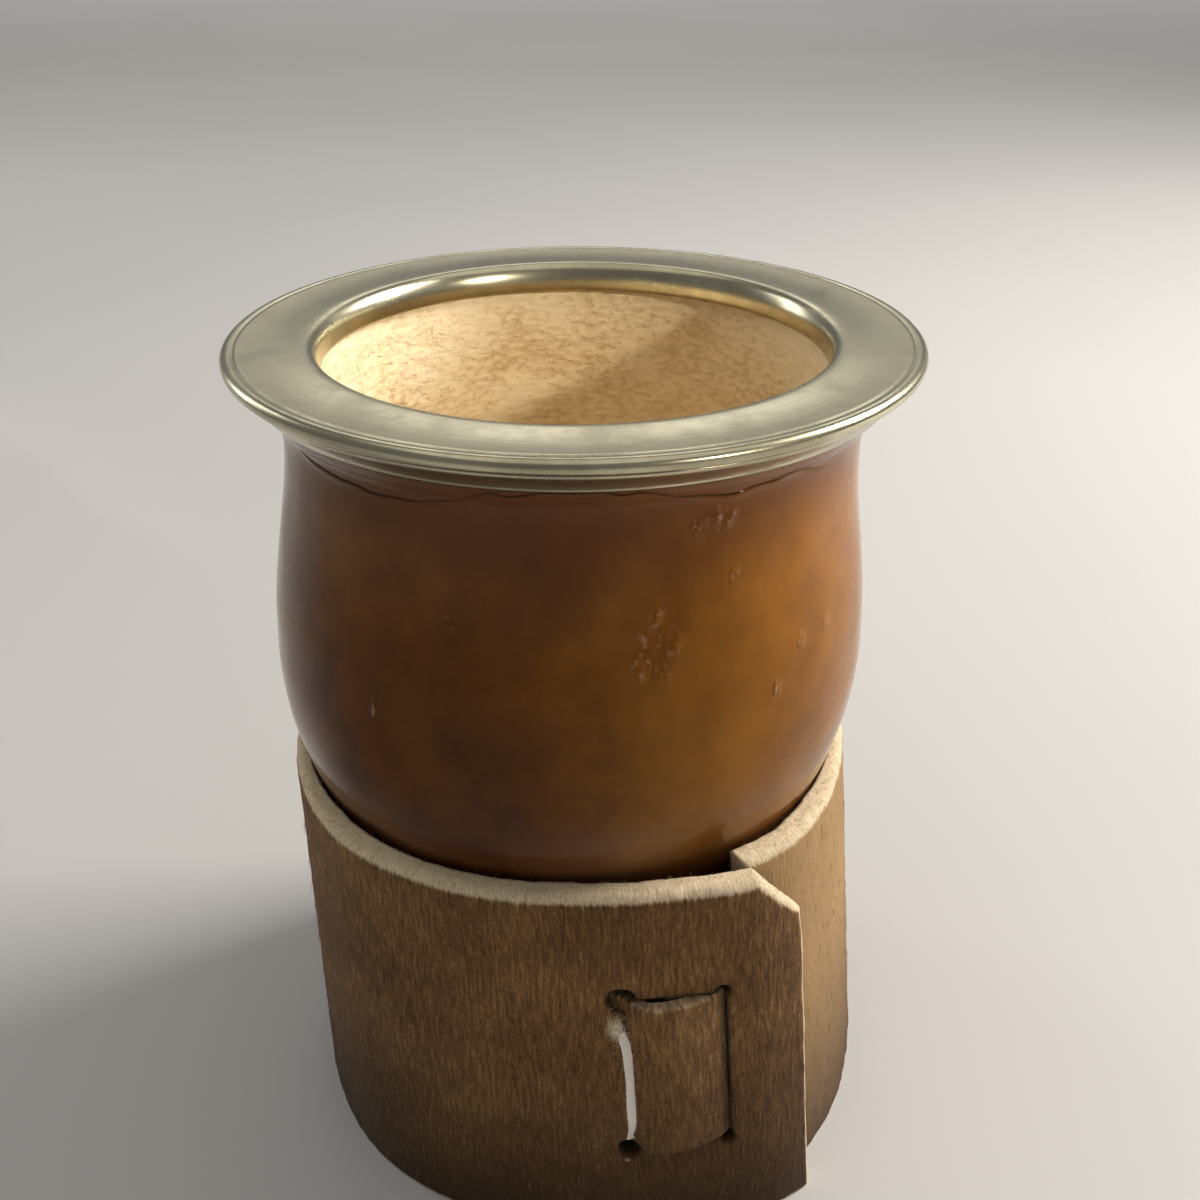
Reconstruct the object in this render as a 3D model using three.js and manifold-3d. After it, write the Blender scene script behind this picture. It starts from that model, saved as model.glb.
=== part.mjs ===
// An empty mate gourd cup: a varnished calabash with a nickel silver collar round its mouth,
// standing in a ring made of one wide leather strip whose narrow tongue locks through two slots.
// Millimetres, +Z up. The origin is on the table, under the middle of the collar.
import * as THREE from 'three';
import { mergeVertices } from 'three/addons/utils/BufferGeometryUtils.js';
import Module from 'manifold-3d';

const wasm = await Module();
wasm.setup();

// Steps round every turned piece, the clearance where two pieces meet, and the shortest edge left by a cut.
const TURNED_STEPS = 48;
const CLEARANCE = 0.4;
const SHORTEST_EDGE = 0.02;

// Collar: a flat flange with a rounded lip inside and a rolled bead outside, and a short flare under it.
const CUP_HEIGHT = 122.7;
const FLANGE_RADIUS = 47.5;
const BEAD_RADIUS = 1.0;
const MOUTH_RADIUS = 34.6;
const MOUTH_ROUNDING = 1.8;
const SHEET = 0.8;
const TUBE_BOTTOM = 117.3;
const FLARE_BOTTOM = 117.3;
const FLARE_RADIUS = 43.7;
const FLARE_LIP = 1.7;

// Gourd: the widest ring of the belly, the ends of its height, and its neck as points of [radius, height].
const BELLY_RADIUS = 43.3;
const BELLY_HEIGHT = 79;
const GOURD_BOTTOM = 30;
const GOURD_WALL = 4.4;
const LIP_RADIUS = 42.9;
const LIP_TOP = 119;
const NECK_OUTSIDE = [
	[ BELLY_RADIUS, BELLY_HEIGHT ], [ 42.95, 86 ], [ 42.2, 92 ], [ 41.1, 99 ], [ 40.3, 105 ],
	[ 40.05, 110.5 ], [ 40.6, 113.8 ], [ 41.9, 115.7 ], [ LIP_RADIUS, 117.3 ],
];
const NECK_INSIDE = [
	[ 35.8, 114 ], [ 36, 104 ], [ 37.7, 92 ], [ BELLY_RADIUS - GOURD_WALL, BELLY_HEIGHT ],
];
const LEAN = 1.35;
const OUT_OF_ROUND = 0.3;
const OUT_OF_ROUND_TURN = Math.PI / 2;

// Leather ring: thickness and height of the strip, and how its round form widens and shifts downwards.
const LEATHER = 3.3;
const RING_HEIGHT = 60.2;
const RING_FLARE = 2.6;
const RING_CENTRE_BOTTOM = new THREE.Vector2(2.6, 0.3);
const RING_CENTRE_TOP = new THREE.Vector2(-0.5, 0.5);
const CORNER_CUT = 8;
const WORN_EDGE = 1.3;
const WORN_FROM = 56;

// Outer radius of the strip at half height, by the angle that it has run through: from its tucked end,
// right, behind and left round the gourd, to the free end that lies over the first part in front.
const STRIP_PATH = [
	[ - 58, 45.2 ], [ - 46, 45.3 ], [ - 33, 44.3 ], [ - 18, 43.2 ], [ 0, 43.1 ], [ 45, 43.5 ], [ 90, 44 ],
	[ 135, 44.5 ], [ 180, 44.5 ], [ 202, 44.9 ], [ 225, 46.1 ], [ 247, 45.9 ], [ 268, 45.6 ],
	[ 279, 46.2 ], [ 288, 46.9 ], [ 296, 48.4 ], [ 302, 49.3 ], [ 310, 49.8 ],
];

// The lock: two upright slots with punched round ends, and the tongue that comes out of the right slot
// and goes in at the left one. Angles are those of the strip's path.
const SLOT_LEFT = [ 278.4, 284.8 ];
const SLOT_RIGHT = [ 289.8, 295.4 ];
const HOLE_LEFT_ANGLE = 277.4;
const HOLE_RIGHT_ANGLE = 294.2;
const HOLE_RADIUS = 2.1;
const SLOT_HEIGHTS = [ 15.8, 43.3 ];
const CUTTER_REACH = 16;
const TONGUE_BOTTOM = 17.4;
const TONGUE_TOP = 42.2;
const TONGUE_THICKNESS = 2.2;
const BRIDGE_DEPTH = [ 1.3, 3 ];
const LIFTED_EDGE = 1.8;
const LIFT_START = 264;
const LOCK_START = 258;
const SHEAR = [ 0.4, 1.4 ];
const TONGUE_PATH = [
	[ 262, 41.6 ], [ 272, 41.2 ], [ 276.8, 40.8 ], [ 279.3, 41.8 ], [ 282.5, 47.6 ], [ 284.2, 48.8 ],
	[ 286.6, 48.75 ], [ 289, 48.4 ], [ 291.1, 47.1 ], [ 294.6, 44.5 ], [ 296.6, 44 ], [ 300, 44.7 ],
	[ 306, 45 ],
];

// Heights of the lock's rows. The bridge between the slots is pressed in fully from the first to the last
// one, and the cut edge is lifted fully from the third to the fourth.
const LOCK_ROWS = [ 17, 20, 23, 36, 40, 42.4 ];

// A number between two others, and a smooth step from 0 to 1.
const mix = THREE.MathUtils.lerp;
const smooth = ( x, from, to ) => THREE.MathUtils.smoothstep( x, from, to );

// Values from one to another in even steps, the last one included.
function steps( from, to, count ) {

	return Array.from( { length: count + 1 }, ( _, i ) => mix( from, to, i / count ) );

}

// Reads a radius off a path of [angle, radius] points, on a smooth curve through them.
function pathRadius( path ) {

	const curve = new THREE.SplineCurve( path.map( ( point ) => new THREE.Vector2( ...point ) ) );
	const samples = curve.getPoints( path.length * 24 );
	return ( angle ) => {

		const next = Math.max( 1, samples.findIndex( ( p ) => p.x >= angle ) );
		const a = samples[ next - 1 ];
		const b = samples[ next ];
		return mix( a.y, b.y, THREE.MathUtils.clamp( ( angle - a.x ) / ( b.x - a.x ), 0, 1 ) );

	};

}

// Points of an arc round a centre, from one angle to another, both in degrees.
function arc( x, y, radius, from, to, count ) {

	return steps( from, to, count ).map( ( degrees ) => {

		const angle = THREE.MathUtils.degToRad( degrees );
		return new THREE.Vector2( x + radius * Math.cos( angle ), y + radius * Math.sin( angle ) );

	} );

}

// A profile of (radius, height) turned round the Z axis.
function turned( profile ) {

	return new THREE.LatheGeometry( profile, TURNED_STEPS ).rotateX( Math.PI / 2 );

}

// Positions only, with shared corners merged, as solids for cutting need them.
function welded( geometry ) {

	geometry.deleteAttribute( 'normal' );
	geometry.deleteAttribute( 'uv' );
	return mergeVertices( geometry, 1e-4 );

}

function toSolid( geometry ) {

	const closed = welded( geometry );
	return new wasm.Manifold( new wasm.Mesh( {
		numProp: 3,
		vertProperties: new Float32Array( closed.attributes.position.array ),
		triVerts: new Uint32Array( closed.index.array ),
	} ) );

}

// The largest body of a solid, without the crumbs and the very short edges that a cut can leave.
function toGeometry( solid ) {

	const [ body ] = solid.decompose().sort( ( a, b ) => b.volume() - a.volume() );
	const mesh = body.simplify( SHORTEST_EDGE ).getMesh();
	const geometry = new THREE.BufferGeometry();
	geometry.setAttribute( 'position', new THREE.BufferAttribute( mesh.vertProperties, 3 ) );
	geometry.setIndex( new THREE.BufferAttribute( mesh.triVerts, 1 ) );
	geometry.computeVertexNormals();
	return geometry;

}

// The calabash: an ellipse below the belly, a waisted neck above it, and the same again inside.
function makeGourd() {

	const belowBelly = arc( 0, 0, 1, - 90, 0, 9 );
	const lowerHalf = ( radius, bottom ) => belowBelly.map(
		( p ) => new THREE.Vector2( radius * p.x, BELLY_HEIGHT + ( BELLY_HEIGHT - bottom ) * p.y ) );
	const outside = NECK_OUTSIDE.map( ( point ) => new THREE.Vector2( ...point ) );
	const inside = NECK_INSIDE.map( ( point ) => new THREE.Vector2( ...point ) );

	const lipInside = MOUTH_RADIUS + SHEET + CLEARANCE;
	const profile = [
		...lowerHalf( BELLY_RADIUS, GOURD_BOTTOM ).slice( 0, - 1 ),
		...new THREE.SplineCurve( outside ).getPoints( 13 ),
		new THREE.Vector2( LIP_RADIUS, LIP_TOP ),
		new THREE.Vector2( lipInside, LIP_TOP ),
		...new THREE.SplineCurve( inside ).getPoints( 5 ).slice( 0, - 1 ),
		...lowerHalf( BELLY_RADIUS - GOURD_WALL, GOURD_BOTTOM + GOURD_WALL ).reverse(),
	];
	profile[ 0 ].x = 0;
	profile[ profile.length - 1 ].x = 0;

	// A grown thing: it leans a little to the left under the collar and is not quite round at the belly.
	const geometry = turned( profile );
	const position = geometry.attributes.position;
	for ( let i = 0; i < position.count; i ++ ) {

		const x = position.getX( i );
		const y = position.getY( i );
		const z = position.getZ( i );
		const up = THREE.MathUtils.clamp( ( z - RING_HEIGHT ) / ( LIP_TOP - RING_HEIGHT ), 0, 1 );
		const lean = - LEAN * ( 1 - up * up );
		const swell = OUT_OF_ROUND * Math.sin( Math.PI * Math.min( 1, up * 1.2 ) );
		const scale = 1 + swell * Math.cos( 2 * Math.atan2( y, x ) + OUT_OF_ROUND_TURN ) / BELLY_RADIUS;
		position.setXY( i, x * scale + lean, y * scale );

	}

	return geometry;

}

// The collar, one closed section: the lip of the gourd sits in the groove between its tube and its flare.
function makeCollar() {

	const grooveTop = LIP_TOP + CLEARANCE;
	const grooveOuter = LIP_RADIUS + CLEARANCE;
	const grooveInner = MOUTH_RADIUS + SHEET;
	const beadHeight = CUP_HEIGHT - BEAD_RADIUS;
	const flareTop = beadHeight - BEAD_RADIUS * 0.8;
	const flare = new THREE.QuadraticBezierCurve(
		new THREE.Vector2( FLANGE_RADIUS - BEAD_RADIUS * 0.4, flareTop ),
		new THREE.Vector2( FLARE_RADIUS + FLARE_LIP * 0.7, FLARE_BOTTOM + FLARE_LIP ),
		new THREE.Vector2( FLARE_RADIUS, FLARE_BOTTOM ) );
	const profile = [
		new THREE.Vector2( grooveInner, TUBE_BOTTOM ),
		new THREE.Vector2( grooveInner, grooveTop ),
		new THREE.Vector2( grooveOuter, grooveTop ),
		new THREE.Vector2( grooveOuter, FLARE_BOTTOM ),
		...flare.getPoints( 6 ).reverse(),
		...arc( FLANGE_RADIUS - BEAD_RADIUS, beadHeight, BEAD_RADIUS, 0, 90, 4 ),
		...arc( MOUTH_RADIUS + MOUTH_ROUNDING, CUP_HEIGHT - MOUTH_ROUNDING, MOUTH_ROUNDING, 90, 180, 5 ),
		new THREE.Vector2( MOUTH_RADIUS, TUBE_BOTTOM ),
		new THREE.Vector2( grooveInner, TUBE_BOTTOM ),
	];
	return turned( profile );

}

// Where the ring's round form has its centre at a height.
function ringCentre( height ) {

	return RING_CENTRE_BOTTOM.clone().lerp( RING_CENTRE_TOP, height / RING_HEIGHT );

}

// A closed strip of even thickness, standing on edge with square ends. Its outer face is
// radiusAt(angle, height), topAt(angle) is the height of its upper edge, and worn is how far the inner
// upper edge is pressed off.
function makeStrip( angles, heights, thickness, radiusAt, topAt, worn = 0 ) {

	const rows = heights.length;
	const upperEdge = heights[ rows - 1 ];
	const corners = [];
	for ( const angle of angles ) {

		const top = topAt( angle );
		for ( const inward of [ 0, thickness ] ) {

			for ( const height of heights ) {

				const z = Math.min( height, height === upperEdge ? top : top - 1 );
				const centre = ringCentre( z );
				const point = ( a ) => {

					const turn = THREE.MathUtils.degToRad( a );
					const radius = radiusAt( a, height ) - RING_FLARE * ( z / RING_HEIGHT - 0.5 );
					return new THREE.Vector2( Math.cos( turn ), Math.sin( turn ) ).multiplyScalar( radius ).add( centre );

				};
				const along = point( angle + 0.2 ).sub( point( angle - 0.2 ) ).normalize();
				const depth = inward - ( inward > 0 && height === upperEdge ? worn : 0 );
				const place = point( angle ).add( new THREE.Vector2( - along.y, along.x ).multiplyScalar( depth ) );
				corners.push( place.x, place.y, z );

			}

		}

	}

	const index = [];
	const corner = ( station, side, row ) => ( station * 2 + side ) * rows + row;
	const quad = ( a, b, c, d ) => index.push( a, b, c, a, c, d );
	for ( let s = 0; s < angles.length - 1; s ++ ) {

		for ( let r = 0; r < rows - 1; r ++ ) {

			quad( corner( s, 0, r ), corner( s + 1, 0, r ), corner( s + 1, 0, r + 1 ), corner( s, 0, r + 1 ) );
			quad( corner( s, 1, r ), corner( s, 1, r + 1 ), corner( s + 1, 1, r + 1 ), corner( s + 1, 1, r ) );

		}

		const top = rows - 1;
		quad( corner( s, 0, top ), corner( s + 1, 0, top ), corner( s + 1, 1, top ), corner( s, 1, top ) );
		quad( corner( s, 0, 0 ), corner( s, 1, 0 ), corner( s + 1, 1, 0 ), corner( s + 1, 0, 0 ) );

	}

	const last = angles.length - 1;
	for ( let r = 0; r < rows - 1; r ++ ) {

		quad( corner( 0, 0, r ), corner( 0, 0, r + 1 ), corner( 0, 1, r + 1 ), corner( 0, 1, r ) );
		quad( corner( last, 0, r ), corner( last, 1, r ), corner( last, 1, r + 1 ), corner( last, 0, r + 1 ) );

	}

	const geometry = new THREE.BufferGeometry();
	geometry.setAttribute( 'position', new THREE.Float32BufferAttribute( corners, 3 ) );
	geometry.setIndex( index );
	return geometry;

}

// Places a cutter across the strip at an angle and height, its own Z axis pointing outwards.
function acrossStrip( geometry, angle, height, radius ) {

	const turn = THREE.MathUtils.degToRad( angle );
	const centre = ringCentre( height );
	geometry.rotateY( Math.PI / 2 ).rotateZ( turn );
	geometry.translate( centre.x + radius * Math.cos( turn ), centre.y + radius * Math.sin( turn ), height );
	return toSolid( geometry );

}

// The leather ring: the wide strip with its two slots, joined to its own narrow tongue.
function makeLeatherRing() {

	const bandRadius = pathRadius( STRIP_PATH );
	const tongueRadius = pathRadius( TONGUE_PATH );
	const [ pathStart ] = STRIP_PATH[ 0 ];
	const [ pathEnd, endRadius ] = STRIP_PATH[ STRIP_PATH.length - 1 ];

	// The tongue lifts the strip's cut edge at the left slot, and presses the bridge between the slots inwards.
	const [ slotBottom, slotTop ] = SLOT_HEIGHTS;
	const [ pressFrom, , liftFrom, liftTo, , pressTo ] = LOCK_ROWS;
	const lift = ( angle, height ) => LIFTED_EDGE
		* THREE.MathUtils.clamp( ( angle - LIFT_START ) / ( SLOT_LEFT[ 0 ] - LIFT_START ), 0, 1 ) ** 2
		* smooth( height, slotBottom, liftFrom ) * ( 1 - smooth( height, liftTo, slotTop ) );
	const press = ( angle, height ) => mix( ...BRIDGE_DEPTH, smooth( angle, SLOT_LEFT[ 1 ], SLOT_RIGHT[ 0 ] ) )
		* smooth( height, slotBottom, pressFrom ) * ( 1 - smooth( height, pressTo, slotTop ) );
	const onLifted = ( angle ) => 1 - smooth( angle, SLOT_LEFT[ 0 ] + SHEAR[ 0 ], SLOT_LEFT[ 0 ] + SHEAR[ 1 ] );
	const onBridge = ( angle ) => smooth( angle, SLOT_LEFT[ 1 ] - SHEAR[ 1 ], SLOT_LEFT[ 1 ] - SHEAR[ 0 ] )
		* ( 1 - smooth( angle, SLOT_RIGHT[ 0 ] + SHEAR[ 0 ], SLOT_RIGHT[ 0 ] + SHEAR[ 1 ] ) );
	const bandSurface = ( angle, height ) => bandRadius( angle )
		+ lift( angle, height ) * onLifted( angle ) - press( angle, height ) * onBridge( angle );
	const tongueSurface = ( angle, height ) => tongueRadius( angle )
		+ lift( angle, height ) * ( 1 - smooth( angle, SLOT_LEFT[ 0 ], SLOT_LEFT[ 1 ] ) );

	const slotEdges = SHEAR.flatMap( ( s ) => [ SLOT_LEFT[ 0 ] + s, SLOT_LEFT[ 1 ] - s, SLOT_RIGHT[ 0 ] + s ] );
	const bandAngles = [
		...steps( pathStart, LOCK_START, 56 ).slice( 0, - 1 ),
		...[ ...steps( LOCK_START, pathEnd, 28 ), ...slotEdges ].sort( ( a, b ) => a - b ),
	];
	const bandHeights = [ 0, slotBottom, ...LOCK_ROWS, slotTop, WORN_FROM, RING_HEIGHT ];
	const cutStart = pathEnd - THREE.MathUtils.radToDeg( CORNER_CUT / endRadius );
	const bandTop = ( angle ) => RING_HEIGHT
		- CORNER_CUT * THREE.MathUtils.clamp( ( angle - cutStart ) / ( pathEnd - cutStart ), 0, 1 );
	const band = makeStrip( bandAngles, bandHeights, LEATHER, bandSurface, bandTop, WORN_EDGE );

	const slots = [ [ SLOT_LEFT, HOLE_LEFT_ANGLE ], [ SLOT_RIGHT, HOLE_RIGHT_ANGLE ] ];
	const cuts = slots.flatMap( ( [ slot, holeAngle ] ) => {

		const angle = ( slot[ 0 ] + slot[ 1 ] ) / 2;
		const radius = bandRadius( angle ) - 1;
		const width = THREE.MathUtils.degToRad( slot[ 1 ] - slot[ 0 ] ) * radius;
		const slit = new THREE.BoxGeometry( slotTop - slotBottom, width, CUTTER_REACH );
		const holes = SLOT_HEIGHTS.map( ( height ) => {

			const punch = new THREE.CylinderGeometry( HOLE_RADIUS, HOLE_RADIUS, CUTTER_REACH, 20 );
			return acrossStrip( punch.rotateX( Math.PI / 2 ), holeAngle, height, radius );

		} );
		return [ acrossStrip( slit, angle, ( slotBottom + slotTop ) / 2, radius ), ...holes ];

	} );
	const ring = cuts.reduce( ( rest, cut ) => rest.subtract( cut ), toSolid( band ) );

	const [ tongueStart ] = TONGUE_PATH[ 0 ];
	const [ tongueEnd ] = TONGUE_PATH[ TONGUE_PATH.length - 1 ];
	const tongueAngles = steps( tongueStart, tongueEnd, 34 );
	const tongueHeights = [ TONGUE_BOTTOM, ...LOCK_ROWS.slice( 1, - 1 ), TONGUE_TOP ];
	const tongue = makeStrip( tongueAngles, tongueHeights, TONGUE_THICKNESS, tongueSurface, () => TONGUE_TOP );
	return toGeometry( ring.add( toSolid( tongue ) ) );

}

const nickelSilver = new THREE.MeshStandardMaterial( { color: 0xa8a18a, roughness: 0.32, metalness: 1 } );
const varnishedGourd = new THREE.MeshStandardMaterial( { color: 0x5a2f12, roughness: 0.35, metalness: 0 } );
const roughLeather = new THREE.MeshStandardMaterial( { color: 0x7a6044, roughness: 0.95, metalness: 0 } );

function named( name, geometry, material ) {

	const mesh = new THREE.Mesh( geometry, material );
	mesh.name = name;
	return mesh;

}

const mateCup = new THREE.Group();
mateCup.add(
	named( 'gourd', makeGourd(), varnishedGourd ),
	named( 'collar', makeCollar(), nickelSilver ),
	named( 'leather_ring', makeLeatherRing(), roughLeather ),
);

export default mateCup;
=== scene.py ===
"""An empty mate gourd cup: a varnished calabash with a nickel silver collar, standing in a ring of
rough leather that a tongue locks through two slots.

Lengths in the tables are millimetres, and MM turns them to the frame's metres. Angles are degrees
round the cup as seen from above: 0 is +X, 270 is the front, where the lock is.
"""

import bpy
import numpy as np
from bpy.props import FloatProperty, FloatVectorProperty, IntProperty, PointerProperty
from bpy.types import Node, NodeSocket, Operator, Panel, PropertyGroup
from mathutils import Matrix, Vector
from mathutils.geometry import delaunay_2d_cdt


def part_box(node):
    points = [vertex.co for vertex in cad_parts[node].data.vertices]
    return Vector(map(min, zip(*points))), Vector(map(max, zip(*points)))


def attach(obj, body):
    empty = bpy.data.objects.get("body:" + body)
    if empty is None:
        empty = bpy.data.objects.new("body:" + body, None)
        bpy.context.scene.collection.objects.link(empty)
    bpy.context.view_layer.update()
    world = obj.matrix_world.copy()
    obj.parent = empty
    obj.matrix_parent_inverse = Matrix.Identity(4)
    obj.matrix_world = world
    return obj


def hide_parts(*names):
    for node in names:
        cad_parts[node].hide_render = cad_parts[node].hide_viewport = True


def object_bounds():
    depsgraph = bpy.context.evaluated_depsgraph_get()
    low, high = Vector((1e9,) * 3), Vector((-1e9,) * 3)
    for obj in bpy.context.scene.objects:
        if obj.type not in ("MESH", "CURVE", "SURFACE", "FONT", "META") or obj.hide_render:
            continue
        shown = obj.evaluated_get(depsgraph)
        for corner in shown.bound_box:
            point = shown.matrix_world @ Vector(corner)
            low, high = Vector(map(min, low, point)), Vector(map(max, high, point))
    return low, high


bl_info = {
    "name": "Mate gourd cup",
    "version": (1, 0, 0),
    "blender": (4, 5, 0),
    "location": "View3D > Sidebar > Mate cup",
    "description": "Builds a mate gourd cup with its metal collar and its leather ring",
    "category": "Object",
}

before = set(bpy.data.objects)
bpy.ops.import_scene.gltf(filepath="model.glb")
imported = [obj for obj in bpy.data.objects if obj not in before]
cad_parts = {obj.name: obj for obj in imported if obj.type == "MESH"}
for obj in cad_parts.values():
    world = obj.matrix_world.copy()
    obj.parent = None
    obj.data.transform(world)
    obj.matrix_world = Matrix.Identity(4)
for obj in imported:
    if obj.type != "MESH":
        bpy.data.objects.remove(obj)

MM = 0.001
CAD_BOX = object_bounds()
COLLAR_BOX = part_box("collar")
GOURD_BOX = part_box("gourd")
RING_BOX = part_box("leather_ring")

# Collar, from the frame: top of the flange and its outer radius. collar_profile draws its section.
COLLAR_UNEVENNESS = 0.018
CUP_HEIGHT = COLLAR_BOX[1].z / MM - COLLAR_UNEVENNESS
FLANGE_RADIUS = COLLAR_BOX[1].x / MM - COLLAR_UNEVENNESS
COLLAR_BOTTOM = COLLAR_BOX[0].z / MM
COLLAR_STEPS = 320
LIP_CLEARANCE = 0.4
FLARE = [
    (43.7, COLLAR_BOTTOM + 0.25), (43.95, 117.95), (44.55, 118.6), (45.45, 119.4), (46.1, 119.95),
    (46.38, 120.4), (46.2, 120.75),
]

# The flange's flat top dips a little between these radii, and a fine line is turned in beside its bead.
FLANGE_RADII = (45.2, 37.2)
DISH_START = 37.0
DISH_WIDTH = 8.4
DISH_DEPTH = 0.12
TURNED_LINE_FROM_BEAD = 0.75
TURNED_LINE = [(0.22, 0), (0.08, 0.05), (0, 0.06), (-0.1, 0.04), (-0.3, 0)]

# The tube inside the collar, and how far the rounding of the mouth reaches down into it.
TUBE_OUTER_RADIUS = 35.4
TUBE_END = COLLAR_BOTTOM + 1.1
MOUTH_DROP = 3.2

# Gourd: belly, and the neck's outside and inside as points of (radius, height).
BELLY_RADIUS = 43.3
BELLY_HEIGHT = 79.0
GOURD_BOTTOM = GOURD_BOX[0].z / MM
GOURD_WALL = 4.4
LIP_TOP = GOURD_BOX[1].z / MM
LIP_RADIUS = 42.9
LIP_INSIDE = 35.8
NECK_OUTSIDE = [
    (BELLY_RADIUS, BELLY_HEIGHT), (42.95, 86), (42.2, 92), (41.1, 99), (40.3, 105),
    (40.05, 110.5), (40.6, 113.8), (41.9, 115.7), (LIP_RADIUS, 117.3),
]
NECK_INSIDE = [
    (LIP_INSIDE, 114), (36.0, 104), (37.7, 92), (BELLY_RADIUS - GOURD_WALL, BELLY_HEIGHT),
]
LEAN = 1.35
OUT_OF_ROUND = 0.3

# The gourd's mesh: columns round it, rows below the belly, and the spacing of the rows above it, which
# is fine from just under the crack.
GOURD_COLUMNS = 400
ROWS_BELOW = 42
ROW_STEP = 0.9
FINE_ROWS_FROM = 111.8
FINE_ROW_STEP = 0.1

# The hairline crack under the collar, as points of (angle, height), and its groove.
CRACK = [
    (212, 114.9), (220, 113.4), (230, 113.0), (234, 112.7), (238, 112.8), (244, 113.2), (251, 114.3),
    (256, 115.8), (258, 116.4), (260, 116.0), (264, 116.5), (266, 117.0), (274, 117.0), (278, 116.4),
    (281, 116.6), (285, 115.8), (288, 115.1), (295, 114.3), (299, 113.9), (303, 114.4), (307, 114.3),
    (309, 114.7), (313, 114.7), (318, 113.5), (324, 112.7),
]
CRACK_WIDTH = 0.14
CRACK_DEPTH = 0.35
CRACK_FADE = 5.0

# Small scuffs and flakes in the varnish: (angle, height, radius, depth). A negative depth stands proud.
SCUFFS = [
    (284.3, 94.8, 1.3, 0.22), (286.9, 97.1, 0.9, 0.16), (282.6, 93.2, 1.0, -0.16),
    (286.2, 93.0, 1.2, 0.18), (285.3, 99.4, 0.7, -0.12), (288.6, 95.6, 0.8, -0.12),
    (283.4, 96.9, 0.7, 0.14), (295.6, 111.0, 0.9, -0.2), (292.6, 110.2, 0.8, -0.14),
    (298.6, 110.6, 0.7, -0.12), (315.4, 90.8, 0.8, 0.12), (323.4, 91.2, 0.6, 0.14),
    (309.0, 86.0, 0.6, 0.1), (250.0, 98.0, 0.6, 0.1), (300.0, 103.0, 0.5, 0.1), (236.0, 84.0, 0.7, -0.1),
]

# Leather ring: the strip runs from its tucked end, right, behind and left round the gourd, and its free
# end lies over the front. Its outer radius at half height is given along the angle that it runs through.
LEATHER = 3.3
RING_HEIGHT = RING_BOX[1].z / MM
RING_FLARE = 2.6
RING_CENTRE_BOTTOM = np.array([2.6, 0.3])
RING_CENTRE_TOP = np.array([-0.5, 0.5])
CORNER_CUT = (6.5, 7.6)
GOURD_GAP = 0.15
STRIP_PATH = [
    (-58, 45.2), (-46, 45.3), (-33, 44.3), (-18, 43.2), (0, 43.1), (45, 43.5), (90, 44), (135, 44.5),
    (180, 44.5), (202, 44.9), (225, 46.1), (247, 45.9), (268, 45.6), (279, 46.2), (288, 46.9),
    (296, 48.4), (302, 49.3), (310, 49.8),
]
FLAT_RADIUS = 46.5

# The slow waves of the uneven surfaces, in metres: how long they are along X, Y and Z, and the hide's depth.
GOURD_WAVE = (0.022, 0.022, 0.03)
COLLAR_WAVE = (0.02, 0.02, 0.02)
HIDE_WAVE = (0.0022, 0.0022, 0.006)
HIDE_UNEVENNESS = 0.0005

# The hide's mesh: spacing along its cuts and over its faces, the rings of points that follow the cuts,
# how far the even grid stays away from them, and the shares of the thickness at which the walls have rows.
CUT_SPACING = 0.5
STRIP_SPACING = 0.95
TONGUE_SPACING = 0.8
RINGS = (0.1, 0.28, 0.55, 0.85, 1.15, 1.45)
GRID_CLEARANCE = 1.85
WALL_ROWS = (0.28, 0.5, 0.74)
WALL_ROUGHNESS = 0.035

# The lock: two slots between angles, with punched round ends, and the tongue through them.
SLOT_LEFT = (278.4, 284.8)
SLOT_RIGHT = (289.8, 295.4)
HOLE_LEFT_ANGLE = 277.4
HOLE_RIGHT_ANGLE = 294.6
HOLE_LEFT_RADII = (1.7, 2.1)
HOLE_RIGHT_RADIUS = 1.1
SLOT_HEIGHTS = (16.2, 42.9)
TONGUE_HEIGHTS = (16.8, 42.75)
TONGUE_THICKNESS = 2.0
BRIDGE_DEPTH = (1.3, 3.0)
BRIDGE_HEIGHTS = (18.0, 41.0)
LIFTED_EDGE = 1.8
LIFT_START = 264.0
LIFT_HEIGHTS = (23.0, 36.0)
TONGUE_LIFT = 1.5
TONGUE_LIFT_ENDS = (277.5, 281.0)
TONGUE_PATH = [
    (262, 41.6), (270, 41.2), (273, 42.0), (275.5, 43.9), (277.4, 44.8), (278.4, 45.6), (279.2, 46.6),
    (280, 47.6), (281.5, 48.3), (284, 48.65), (287, 48.7), (290, 48.5), (292, 48.3), (293.5, 48.0),
    (294.6, 47.6), (295.4, 47.2), (296.2, 46.5), (297.4, 45.2), (299, 44.4), (301, 44.5), (306, 45),
]

# The cut edges at the slots are pared thin over an angle, and the left one is torn white.
PARED_LEFT = (271.0, 277.0, 2.1)
PARED_RIGHT = (300.0, 296.0, 1.9)
PARED_HEIGHTS = (16.0, 19.0, 40.0, 43.3)
TORN_HEIGHTS = (17.2, 18.2, 36.6, 39.0)
TORN_WIDTH = (1.0, 1.35)
TORN_DEPTH = 0.9
SLOT_BEND = [(16.0, -0.5), (21.0, 0.0), (30.0, 0.25), (36.0, -0.3), (41.5, -1.3)]
TUFT = (276.4, 38.9, 1.5, 1.9)
LOW_TUFT = (276.6, 13.9, 1.1, 0.5)
NAP_FOOT = 2.6

# The angles between which the cut edges at the slots are painted dark as shade, how much painted shade the
# tongue's edges take above and below, and the heights over which the strip's top edge turns paler, rounder
# and frayed.
DARK_EDGES = (272.0, 274.0, 299.0, 301.0)
TONGUE_EDGES_DARK = (0.68, 0.97)
TOP_EDGE = (50.0, 55.0)
TOP_ROUNDING = (47.0, 52.0)
TOP_FRAY = (50.0, 59.0)

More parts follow.
